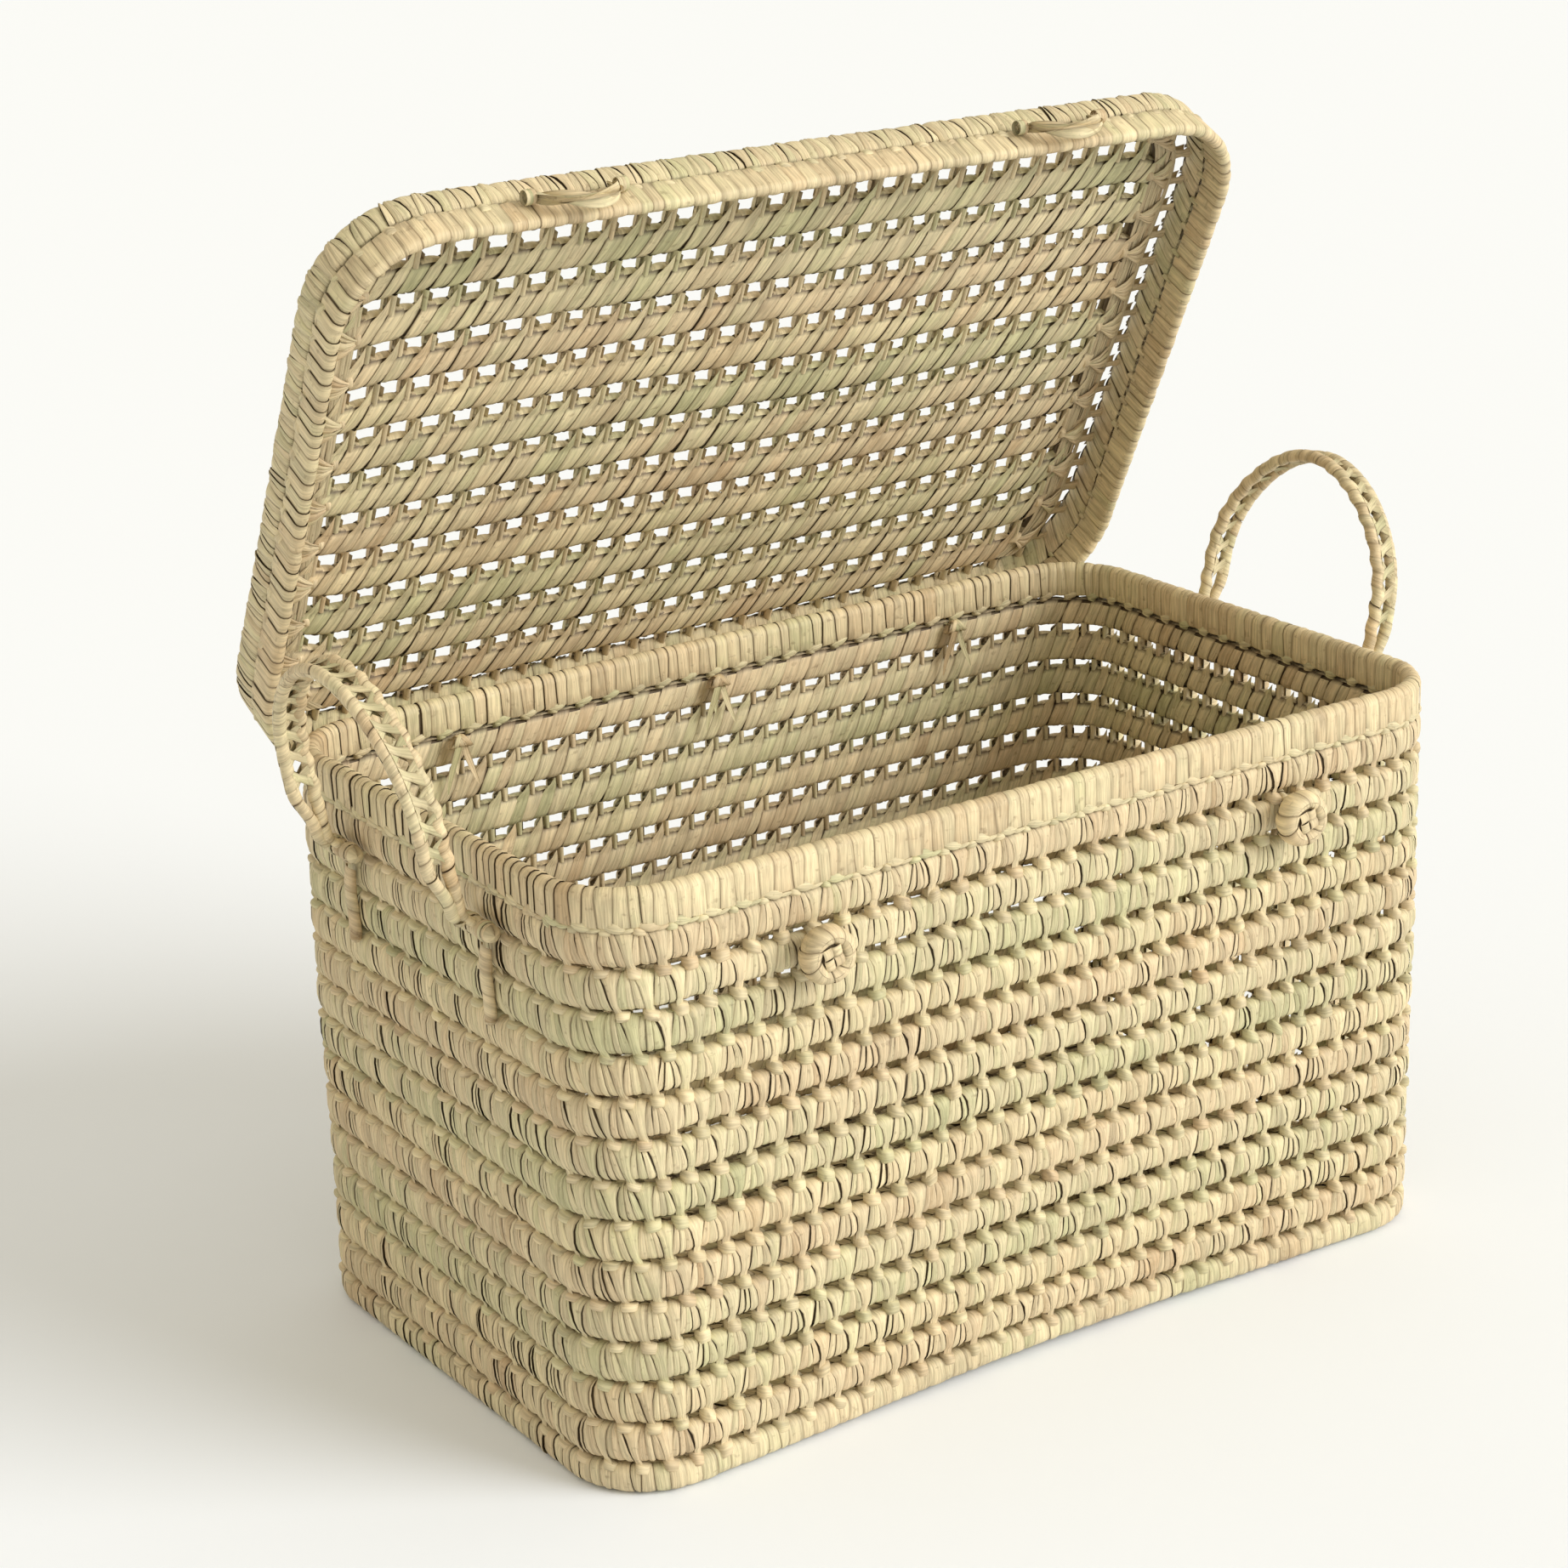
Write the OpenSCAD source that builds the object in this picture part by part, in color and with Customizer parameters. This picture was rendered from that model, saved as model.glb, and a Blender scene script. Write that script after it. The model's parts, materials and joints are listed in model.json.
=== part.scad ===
// Wicker storage trunk: a coiled palm-leaf basket with a hinged tray lid, two ladder handles,
// two knob buttons and two closing loops.
// Millimetres. The origin is the centre of the underside, +X runs along the length, +Y to the hinge
// side and +Z up. The lid stands open and both handles lean outwards.

/* [Trunk body] */
// Outside length of the woven body
body_len = 620; // [560:10:680]
// Outside depth of the woven body, front to back
body_dep = 366; // [340:2:400]
// Height of the woven body without its lid
body_h = 360; // [320:10:400]
// Outside corner radius of the body in plan
corner_r = 54; // [46:1:60]
// Thickness of a coiled wall course
wall_t = 12; // [11:0.5:13]
// Height of the wrapped band along the rim
rim_h = 22; // [20:1:24]
// Height of the course that turns from the wall to the underside
base_edge_h = 18; // [16:1:20]
// Thickness of the woven underside
base_t = 11; // [10:0.5:12]

/* [Lid] */
// Angle that the lid stands open
lid_open = 64; // [0:1:115]
// Gap between the body's rim and the inside of the lid, all round
lid_gap = 2.5; // [2.5:0.1:3]
// Thickness of the lid's wrapped rim
lid_rim_t = 8; // [7.5:0.5:9]
// Height of the lid's wrapped rim
lid_rim_h = 20; // [18:1:22]
// How far the closed lid reaches down past the body's rim
lid_drop = 32; // [30:1:34]
// Thickness of the lid's woven panel
panel_t = 11; // [10:0.5:12]
// Width of the bound edge at each short end of the panel
binding_w = 22; // [18:1:26]

/* [Handles] */
// Distance between the two feet of one handle
handle_span = 156; // [140:2:170]
// Straight part of a handle's legs, from the foot to the start of the arch
handle_leg = 60; // [50:1:70]
// Radius of one handle cord
cord_r = 4; // [3.5:0.1:4.5]
// Outward lean of the left handle
left_lean = 10; // [5:1:30]
// Outward lean of the right handle
right_lean = 12; // [5:1:30]

/* [Fastenings] */
// Distance of each button and loop from the middle of the front
button_x = 171; // [140:1:190]
// Radius of a knob button
knob_r = 17; // [15:0.5:17]
// Mean radius of a closing loop
loop_r = 24; // [20:1:24]
// Distance of the outer hinge ties from the middle of the back
tie_x = 190; // [150:5:210]

/* [Hidden] */
$fn = 64;
WALL_COURSES = 13;
LID_COURSES = 12;
BASE_COURSES = 13;
course_h = (body_h - rim_h - base_edge_h) / WALL_COURSES;
course_bulge = 3.5;
panel_bulge = 3;
// Overlap that makes the base's courses one solid
merge = 0.02;
rim_z = body_h - rim_h;

lid_side_t = 9;
lid_bulge = 2;
lid_len = body_len + 2 * (lid_gap + lid_rim_t);
lid_dep = body_dep + 2 * (lid_gap + lid_rim_t);
lid_r = corner_r + lid_gap + lid_rim_t;
lid_z = body_h - lid_drop;
panel_z = body_h + 1;
lid_top = panel_z + panel_t;
lid_in_len = lid_len - 2 * lid_side_t;
lid_in_dep = lid_dep - 2 * lid_side_t;
lid_in_r = lid_r - lid_side_t;
lid_pitch = lid_in_dep / LID_COURSES;

hinge_y = body_dep / 2 + lid_gap + lid_rim_t / 2;
hinge_z = lid_z + lid_rim_t / 2;
tie_w = 8;
tie_bore_r = lid_rim_t / 2 + 0.3;
tie_r = hinge_y - body_dep / 2 - 0.1;
tie_strap_h = 6;
slot_play = 0.4;

lashing_t = 1.2;
lashing_h = 3;

foot_x = body_len / 2 + 8;
foot_z = body_h - 42;
foot_half = 12;
foot_ball_r = 6;
inner_u = 9;
outer_u = 22;
join_v = 8;
outer_end_v = 30;
keeper_r = 6.5;
keeper_bore_r = cord_r + 0.3;
keeper_w = 5;
keeper_off = 8;
rung_r = 1.8;
rungs = 21;
tail_top = foot_z - 13;
tail_drop = 40;

shank_r = 2.5;
shank_hole_r = 4.5;
// Turn of leaf round the shank, on which it tips inside the wall
pivot_r = 3.8;
shank_z = base_edge_h + 12 * course_h;
shank_dip = 30;
shank_len = 22;
stop_r = 5;
stop_off = 14;
knob_edge_r = 8;

loop_cord_r = 2.8;
loop_lift = 25;
loop_eye_r = 5;
loop_bore_r = loop_cord_r + 0.3;
loop_pin = 9;
loop_z = lid_z + lid_rim_h - 5;
loop_y = -lid_dep / 2 - loop_eye_r;

straw = [0.86, 0.80, 0.62];
cream = [0.91, 0.86, 0.70];
reed = [0.74, 0.72, 0.55];
blush = [0.85, 0.74, 0.58];

function pad(k) = k < 10 ? str("0", k) : str(k);
function course_node(k) = str("wall_course_", pad(k));
function panel_node(k) = str("lid_course_", pad(k));
function course_tone(k) = [straw, reed, cream, blush][(k * 7) % 4];

// ---- Sections. x runs inwards from the outer face, y runs up. ----

// Radius of an arc that falls back by b over a height h
function arc_r(h, b) = (h * h / 4 + b * b) / (2 * b);

// A coiled bundle: both faces bulge, and flat lands bear on the courses above and below
module bundle_section(t, h, b) {
    r = arc_r(h, b);
    intersection() {
        square([t, h]);
        translate([r, h / 2]) circle(r, $fn = 128);
        translate([t - r, h / 2]) circle(r, $fn = 128);
    }
}

// A bundle with a flat inner face
module edge_section(t, h, b) {
    r = arc_r(h, b);
    intersection() {
        square([t, h]);
        translate([r, h / 2]) circle(r, $fn = 128);
    }
}

// A wrapped band with a round top
module band_section(t, h) {
    square([t, h - t / 2]);
    translate([t / 2, h - t / 2]) circle(t / 2);
}

// A wrapped band with a round bottom
module hanging_band_section(t, h) {
    translate([0, t / 2]) square([t, h - t / 2]);
    translate([t / 2, t / 2]) circle(t / 2);
}

// ---- Rings and plates ----

// Carries a section round a rounded rectangle whose outer face is len x dep
module ring(len, dep, r) {
    for (q = [0:3]) {
        run = (q % 2 == 0 ? len : dep) - 2 * r;
        off = (q % 2 == 0 ? dep : len) / 2;
        rotate([0, 0, 90 * q]) {
            translate([-run / 2, -off, 0]) rotate([90, 0, 90]) linear_extrude(run) children();
            translate([run / 2, -off + r, 0]) rotate([0, 0, -90])
                rotate_extrude(angle = 90, $fn = 128) translate([r, 0]) mirror([1, 0]) children();
        }
    }
}

module rounded_rectangle(len, dep, r) {
    square([len - 2 * r, dep], center = true);
    square([len, dep - 2 * r], center = true);
    for (x = [-1, 1], y = [-1, 1]) translate([x * (len / 2 - r), y * (dep / 2 - r)]) circle(r, $fn = 128);
}

// Lays a section flat along X, from x0 to x1 and from y0, with its outer face up
module laid_flat(x0, x1, y0, t) {
    translate([x0, y0, 0]) rotate([90, 0, 90]) linear_extrude(x1 - x0) translate([0, t]) rotate(-90) children();
}

// ---- Trunk body ----

module base_mat() {
    len = body_len - 2 * wall_t;
    dep = body_dep - 2 * wall_t;
    w = dep / BASE_COURSES;
    color(straw) intersection() {
        union() for (k = [0:BASE_COURSES - 1])
            laid_flat(-len / 2, len / 2, -dep / 2 + k * w, base_t) edge_section(base_t, w + merge, panel_bulge);
        linear_extrude(base_t) rounded_rectangle(len, dep, corner_r - wall_t);
    }
}

module base_edge() {
    color(straw) ring(body_len, body_dep, corner_r) edge_section(wall_t, base_edge_h, course_bulge);
}

// Play around the strap of each hinge tie
module tie_slots() {
    for (x = [-tie_x, 0, tie_x])
        translate([x - tie_w / 2 - slot_play, 0, hinge_z - tie_strap_h / 2 - slot_play])
            cube([tie_w + 2 * slot_play, body_dep, tie_strap_h + 2 * slot_play]);
}

// Passages for the button shanks, where two courses meet
module shank_holes() {
    for (x = [-button_x, button_x])
        at_button(x) rotate([90, 0, 0]) cylinder(r = shank_hole_r, h = 60, center = true);
}

module wall_course(k) {
    z = base_edge_h + (k - 1) * course_h;
    touches_shank = k == 12 || k == 13;
    color(course_tone(k)) difference() {
        translate([0, 0, z]) ring(body_len, body_dep, corner_r) bundle_section(wall_t, course_h, course_bulge);
        if (touches_shank) shank_holes();
        if (k == WALL_COURSES) tie_slots();
    }
}

module rim_band() {
    color(cream) translate([0, 0, rim_z]) ring(body_len, body_dep, corner_r) band_section(wall_t, rim_h);
}

// The leaf strip that sews the rim band on, showing as a thin line on both faces
module rim_lashing() {
    color(reed) translate([0, 0, rim_z]) {
        ring(body_len + 2 * lashing_t, body_dep + 2 * lashing_t, corner_r + lashing_t) square([lashing_t, lashing_h]);
        ring(body_len - 2 * wall_t, body_dep - 2 * wall_t, corner_r - wall_t) square([lashing_t, lashing_h]);
    }
}

// ---- Hinge ties: a leaf loop round the lid's rim, a strap through the wall and a knot inside ----

module hinge_tie(x) {
    knot_r = 5;
    inner_y = body_dep / 2 - wall_t;
    knot_y = inner_y - knot_r - 0.2;
    color(cream) translate([x, 0, hinge_z]) {
        difference() {
            union() {
                translate([0, hinge_y, 0]) rotate([0, 90, 0]) cylinder(r = tie_r, h = tie_w, center = true);
                translate([-tie_w / 2, knot_y, -tie_strap_h / 2]) cube([tie_w, hinge_y - knot_y, tie_strap_h]);
            }
            translate([0, hinge_y, 0]) rotate([0, 90, 0]) cylinder(r = tie_bore_r, h = tie_w + 2, center = true);
        }
        translate([0, knot_y, 0]) rotate([0, 90, 0]) cylinder(r = knot_r, h = 16, center = true);
        for (s = [-1, 1]) translate([s * 4 - 2.5, knot_y - 1, -34]) cube([5, 2, 32]);
    }
}

// ---- Lid, modelled closed and then swung open about its hinge ----

module opened() {
    translate([0, hinge_y, hinge_z]) rotate([-lid_open, 0, 0]) translate([0, -hinge_y, -hinge_z]) children();
}

module lid_course(k) {
    half = lid_in_len / 2 - binding_w;
    color(course_tone(k + 1)) opened() translate([0, 0, panel_z]) intersection() {
        laid_flat(-half, half, -lid_in_dep / 2 + (k - 1) * lid_pitch, panel_t)
            bundle_section(panel_t, lid_pitch, panel_bulge);
        linear_extrude(panel_t) rounded_rectangle(lid_in_len, lid_in_dep, lid_in_r);
    }
}

// The bound edge across the ends of the panel's courses
module lid_binding(side) {
    x0 = side > 0 ? lid_in_len / 2 - binding_w : -lid_in_len / 2;
    color(blush) opened() translate([0, 0, panel_z]) linear_extrude(panel_t) intersection() {
        rounded_rectangle(lid_in_len, lid_in_dep, lid_in_r);
        translate([x0, -lid_in_dep / 2]) square([binding_w, lid_in_dep]);
    }
}

module lid_side_course() {
    color(straw) opened() translate([0, 0, lid_z + lid_rim_h]) ring(lid_len, lid_dep, lid_r)
        edge_section(lid_side_t, lid_top - lid_z - lid_rim_h, lid_bulge);
}

// The wrapped rim. A ring-shaped gap leaves a round strand for each hinge tie to turn on.
module lid_rim_band() {
    color(cream) opened() difference() {
        translate([0, 0, lid_z]) ring(lid_len, lid_dep, lid_r) hanging_band_section(lid_rim_t, lid_rim_h);
        for (x = [-tie_x, 0, tie_x]) translate([x, hinge_y, hinge_z]) rotate([0, 90, 0]) difference() {
            cylinder(r = tie_r + 0.5, h = tie_w + 1, center = true);
            cylinder(r = lid_rim_t / 2, h = tie_w + 3, center = true);
        }
    }
}

// ---- Closing loops on the lid's front rim ----

module at_loop(x) {
    opened() translate([x, loop_y, loop_z]) children();
}

module loop_eyes(x) {
    mid = loop_r + loop_cord_r + 0.5 + 2.5;
    color(straw) at_loop(x) for (s = [-1, 1]) translate([s * mid, 0, 0]) difference() {
        union() {
            rotate([0, 90, 0]) cylinder(r = loop_eye_r, h = 5, center = true);
            translate([-2.5, 0, -3]) cube([5, loop_eye_r, 6]);
        }
        rotate([0, 90, 0]) cylinder(r = loop_bore_r, h = 7, center = true);
    }
}

module closing_loop(x) {
    color(straw) at_loop(x) rotate([-loop_lift, 0, 0]) {
        rotate([90, 0, 0]) rotate([0, 0, 180])
            rotate_extrude(angle = 180) translate([loop_r, 0]) circle(loop_cord_r);
        for (s = [-1, 1]) {
            translate([s * loop_r, 0, 0]) sphere(loop_cord_r);
            translate([s * (loop_r + loop_pin / 2), 0, 0]) rotate([0, 90, 0])
                cylinder(r = loop_cord_r, h = loop_pin, center = true);
        }
    }
}

// ---- Handles. u runs outwards from the foot's axis and v along the leg. ----

// Places a handle's frame at its feet: side is -1 for left and 1 for right
module at_feet(side, lean = 0) {
    mirror([side < 0 ? 1 : 0, 0, 0]) translate([foot_x, 0, foot_z]) rotate([0, lean, 0]) children();
}

module arch(u, r) {
    translate([u, 0, handle_leg]) rotate([90, 0, 90])
        rotate_extrude(angle = 180, $fn = 128) translate([handle_span / 2, 0]) circle(r);
}

// A cord of radius r from one (u, v) point to another, at the leg on side y
module leg_run(y, a, b, r) {
    d = b - a;
    translate([a[0], y, a[1]]) rotate([0, atan2(d[0], d[1]), 0]) cylinder(r = r, h = norm(d));
}

// The inner cord ends in both feet, and each foot's cross-piece turns in its keepers
module inner_cord(side, lean) {
    color(cream) at_feet(side, lean) {
        arch(inner_u, cord_r);
        for (y = [-handle_span / 2, handle_span / 2]) {
            leg_run(y, [inner_u, join_v], [inner_u, handle_leg], cord_r);
            leg_run(y, [0, 0], [inner_u, join_v], cord_r);
            translate([inner_u, y, join_v]) sphere(cord_r);
            intersection() {
                translate([0, y, 0]) sphere(foot_ball_r);
                translate([-10, y - 4, -10]) cube([20, 8, 20]);
            }
            translate([0, y, 0]) rotate([90, 0, 0]) cylinder(r = cord_r, h = 2 * foot_half, center = true);
        }
    }
}

// The outer cord ends beside the inner one, above the foot
module outer_cord(side, lean) {
    color(straw) at_feet(side, lean) {
        arch(outer_u, cord_r);
        for (y = [-handle_span / 2, handle_span / 2]) {
            leg_run(y, [outer_u, outer_end_v], [outer_u, handle_leg], cord_r);
            translate([outer_u, y, outer_end_v]) sphere(cord_r);
        }
    }
}

// Rungs of leaf strip from cord to cord, spaced evenly round the arch
module handle_lashing(side, lean) {
    color(reed) at_feet(side, lean) difference() {
        for (k = [0:rungs - 1]) {
            a = 180 * (k + 0.5) / rungs;
            translate([inner_u, handle_span / 2 * cos(a), handle_leg + handle_span / 2 * sin(a)])
                rotate([0, 90, 0]) cylinder(r = rung_r, h = outer_u - inner_u, $fn = 24);
        }
        arch(inner_u, cord_r);
        arch(outer_u, cord_r);
    }
}

// Two leaf wraps per foot, sewn to the bulging end wall, in which the foot's cross-piece turns
module keepers(side) {
    wall_x = body_len / 2 - foot_x;
    bulge_r = arc_r(course_h, course_bulge);
    top_course_mid = rim_z - course_h / 2;
    color(straw) at_feet(side) for (y = [-handle_span / 2, handle_span / 2], s = [-1, 1])
        translate([0, y + s * keeper_off, 0]) difference() {
            union() {
                rotate([90, 0, 0]) cylinder(r = keeper_r, h = keeper_w, center = true);
                translate([wall_x - 2, -keeper_w / 2, -3]) cube([-wall_x + 2, keeper_w, 6]);
            }
            rotate([90, 0, 0]) cylinder(r = keeper_bore_r, h = keeper_w + 2, center = true);
            translate([wall_x - bulge_r, 0, top_course_mid - foot_z]) rotate([90, 0, 0])
                cylinder(r = bulge_r, h = keeper_w + 2, center = true, $fn = 128);
        }
}

// The end of each handle's cord, sewn down over two courses like a long stitch
module tails(side) {
    color(blush) mirror([side < 0 ? 1 : 0, 0, 0]) for (y = [-handle_span / 2, handle_span / 2])
        translate([body_len / 2, y, tail_top - tail_drop]) {
            translate([cord_r + 0.5, 0, 0]) cylinder(r = cord_r, h = tail_drop);
            for (z = [0, tail_drop]) translate([cord_r + 0.5, 0, z]) sphere(cord_r);
        }
}

// ---- Buttons: a knob on a shank that passes between two courses to a stop knot inside ----

// The button's frame at the middle of the wall, with -Y along the dipping shank
module at_button(x) {
    translate([x, -body_dep / 2 + wall_t / 2, shank_z]) rotate([shank_dip, 0, 0]) children();
}

module shank(x) {
    color(straw) difference() {
        at_button(x) {
            translate([0, stop_off, 0]) rotate([90, 0, 0]) cylinder(r = shank_r, h = stop_off + shank_len);
            translate([0, stop_off, 0]) sphere(stop_r);
            sphere(pivot_r);
        }
        knob_shape(x);
    }
}

module knob_shape(x) {
    at_button(x) translate([0, -shank_len, 0]) rotate([-shank_dip, 0, 0]) rotate([90, 0, 0]) {
        rotate_extrude($fn = 96) {
            translate([0, -knob_edge_r]) square([knob_r - knob_edge_r, 2 * knob_edge_r]);
            intersection() {
                translate([knob_r - knob_edge_r, 0]) circle(knob_edge_r);
                translate([0, -knob_edge_r]) square([knob_r, 2 * knob_edge_r]);
            }
        }
        translate([0, 0, knob_edge_r]) cube([13, 13, 2], center = true);
    }
}

module knob(x) {
    color(cream) knob_shape(x);
}

base_mat();
base_edge();
for (k = [1:WALL_COURSES]) wall_course(k);
rim_band();
rim_lashing();
hinge_tie(-tie_x);  // hinge_tie_left
hinge_tie(0);  // hinge_tie_middle
hinge_tie(tie_x);  // hinge_tie_right
for (k = [1:LID_COURSES]) lid_course(k);
lid_binding(-1);  // lid_binding_left
lid_binding(1);  // lid_binding_right
lid_side_course();
lid_rim_band();
loop_eyes(-button_x);  // loop_eyes_left
loop_eyes(button_x);  // loop_eyes_right
closing_loop(-button_x);  // loop_left
closing_loop(button_x);  // loop_right
keepers(-1);  // handle_left_keepers
tails(-1);  // handle_left_tails
inner_cord(-1, left_lean);  // handle_left_inner_cord
outer_cord(-1, left_lean);  // handle_left_outer_cord
handle_lashing(-1, left_lean);  // handle_left_lashing
keepers(1);  // handle_right_keepers
tails(1);  // handle_right_tails
inner_cord(1, right_lean);  // handle_right_inner_cord
outer_cord(1, right_lean);  // handle_right_outer_cord
handle_lashing(1, right_lean);  // handle_right_lashing
shank(-button_x);  // button_left_shank
knob(-button_x);  // button_left_knob
shank(button_x);  // button_right_shank
knob(button_x);  // button_right_knob
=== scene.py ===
"""Wicker storage trunk: knotted palm-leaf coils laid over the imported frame.

Lengths are millimetres while a piece is built, and metres in Blender.
"""

import json
import math

import bpy
import numpy as np
from mathutils import Matrix, Vector


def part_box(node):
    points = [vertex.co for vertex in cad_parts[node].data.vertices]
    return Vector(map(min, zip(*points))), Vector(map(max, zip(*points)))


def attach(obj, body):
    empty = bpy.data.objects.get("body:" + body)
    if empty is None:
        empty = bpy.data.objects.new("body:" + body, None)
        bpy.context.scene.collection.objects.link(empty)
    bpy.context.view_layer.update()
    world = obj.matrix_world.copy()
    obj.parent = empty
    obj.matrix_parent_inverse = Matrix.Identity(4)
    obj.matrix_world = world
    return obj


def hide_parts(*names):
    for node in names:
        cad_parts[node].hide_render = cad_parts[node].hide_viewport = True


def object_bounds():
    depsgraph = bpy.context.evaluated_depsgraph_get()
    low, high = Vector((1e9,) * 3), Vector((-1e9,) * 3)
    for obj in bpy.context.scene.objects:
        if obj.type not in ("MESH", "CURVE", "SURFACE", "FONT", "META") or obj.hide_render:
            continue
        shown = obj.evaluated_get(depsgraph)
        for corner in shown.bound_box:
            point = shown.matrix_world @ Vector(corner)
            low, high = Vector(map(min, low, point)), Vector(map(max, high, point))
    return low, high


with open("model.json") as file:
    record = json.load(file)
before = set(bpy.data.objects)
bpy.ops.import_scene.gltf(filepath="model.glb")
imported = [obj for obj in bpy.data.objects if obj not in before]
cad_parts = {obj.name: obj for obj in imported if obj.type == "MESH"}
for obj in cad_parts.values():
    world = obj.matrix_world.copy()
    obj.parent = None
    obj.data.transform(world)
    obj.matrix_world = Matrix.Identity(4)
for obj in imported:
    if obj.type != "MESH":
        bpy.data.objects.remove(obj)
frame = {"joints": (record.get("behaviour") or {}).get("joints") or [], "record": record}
CAD_LO, CAD_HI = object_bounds()

MM = 0.001

# ---- Sizes that the frame's boxes don't give ----
LID_OPEN = math.radians(64)
WALL_T = 12.0
PANEL_T = 11.0
LID_SIDE_T = 9.0
LID_RIM_T = 8.0
LID_GAP = 2.5
LID_DROP = 32.0
BINDING_W = 22.0
CORNER_R = 54.0
LID_RIM_H = 20.0
PERIODS = 96  # knots round one course of the wall
LID_PERIODS = 98  # knots round the lid's side
WALL_COURSES = 13
LID_COURSES = 12
LID_KNOTS = 28  # knots along one course of the lid's panel
LID_FANS = 12  # fans of leaf over one end of the lid's courses
END_TIES = 17  # stitches from the lid panel's end bar to the side
HANDLE_SPAN = 156.0
HANDLE_LEG = 60.0
INNER_U = 9.0
OUTER_U = 22.0
CORD_R = 4.0
LASH_PITCH = 14.5
TIE_X = 190.0
BUTTON_X = 171
LOOP_R = 24.0
LOOP_LIFT = math.radians(25)


def span(node):
    """Lowest and highest corners of a CAD node at rest, in mm."""
    lo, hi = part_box(node)
    return np.array(lo) / MM, np.array(hi) / MM


BODY_LO, BODY_HI = span("wall_course_05")
BODY_LEN, BODY_DEP = (BODY_HI - BODY_LO)[:2]
BODY_H = span("rim_band")[1][2]
JOINTS = {j["name"]: j for j in frame["joints"]}
SLOT = {part["node"]: part["material_slot"] for part in frame["record"]["subparts"]}
HINGE = np.array(JOINTS["lid_hinge"]["pos_m"]) / MM
LID_LEN = BODY_LEN + 2 * (LID_GAP + LID_RIM_T)
LID_DEP = BODY_DEP + 2 * (LID_GAP + LID_RIM_T)
LID_R = CORNER_R + LID_GAP + LID_RIM_T
LID_Z = BODY_H - LID_DROP
PANEL_Z = BODY_H + 1
LID_TOP = PANEL_Z + PANEL_T
PANEL_HALF_LEN = LID_LEN / 2 - LID_SIDE_T
PANEL_HALF_DEP = LID_DEP / 2 - LID_SIDE_T
PANEL_R = LID_R - LID_SIDE_T


# ---- Small maths ----

def smooth(x):
    x = np.clip(x, 0, 1)
    return x * x * (3 - 2 * x)


def ripple(seed, u, low, high, count=5):
    """A smooth wave of u, about -1 to 1, that repeats every whole u."""
    rng = np.random.default_rng(seed)
    total = np.zeros_like(np.asarray(u, float))
    for _ in range(count):
        height, waves = rng.uniform(0.5, 1), rng.integers(low, high + 1)
        total += height * np.sin(2 * np.pi * (waves * u + rng.random()))
    return total / (0.9 * math.sqrt(count))


def half_width(v, half_u, half_v, r):
    """How far a rounded rectangle reaches along u, at v from its middle."""
    over = np.clip(np.abs(v) - (half_v - r), 0, r)
    return half_u - r + np.sqrt(r * r - over * over)


def tones(rng, middle, spread, count=None):
    """Random tones about a middle, kept from 0 to 1."""
    return np.clip(middle + rng.normal(0, spread, count), 0, 1)


def lengthways(values):
    """Values that change along a strip, for a grid of (strips, along, across)."""
    return np.asarray(values, float)[None, :, None]


def crossways(values):
    """Values that change across a strip, for a grid of (strips, along, across)."""
    return np.asarray(values, float)[None, None, :]


# ---- Warps: hand-made work is never quite straight ----

def warp_body(p):
    """The front wall's foot bows inwards and up, and the courses waver below the rim."""
    x, y, z = p[..., 0], p[..., 1], p[..., 2]
    free = smooth((300 - z) / 120)
    bow = np.cos(np.clip(x / 300, -1, 1) * np.pi / 2) ** 2 * np.clip(1 - z / 210, 0, 1) ** 2
    front = smooth(-y / 183)
    q = p.copy()
    q[..., 1] = y + front * bow * 7
    waver = free * smooth(z / 40) * 0.9 * np.sin(x / 61 + z / 37) * np.cos(y / 53 + 1)
    q[..., 2] = z + front * bow * 3 + waver
    q[..., 0] = x - free * 1.1 * np.sin(z / 63 + 0.5) * np.sign(x) * smooth(np.abs(x) / 300) ** 2
    return q


def open_lid(p):
    """Swings a point of the closed lid to where it stands at rest."""
    dy, dz = p[..., 1] - HINGE[1], p[..., 2] - HINGE[2]
    c, s = math.cos(LID_OPEN), math.sin(LID_OPEN)
    return np.stack([p[..., 0], HINGE[1] + dy * c + dz * s, HINGE[2] - dy * s + dz * c], -1)


def warp_lid(p):
    """The panel sags a little and its courses waver, and then the lid swings open."""
    x, y, z = p[..., 0], p[..., 1], p[..., 2]
    inner = np.clip(1 - (x / 300) ** 2, 0, 1) * np.clip(1 - (y / 180) ** 2, 0, 1)
    q = p.copy()
    q[..., 1] = y + inner * 2.2 * np.sin(x / 83 + 0.4) * np.cos(y / 67)
    q[..., 2] = z - inner * 1.5 * (1 + np.sin(x / 97))
    return open_lid(q)


# ---- Lays: each carries (s along, h across, n outwards) to a place ----

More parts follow.
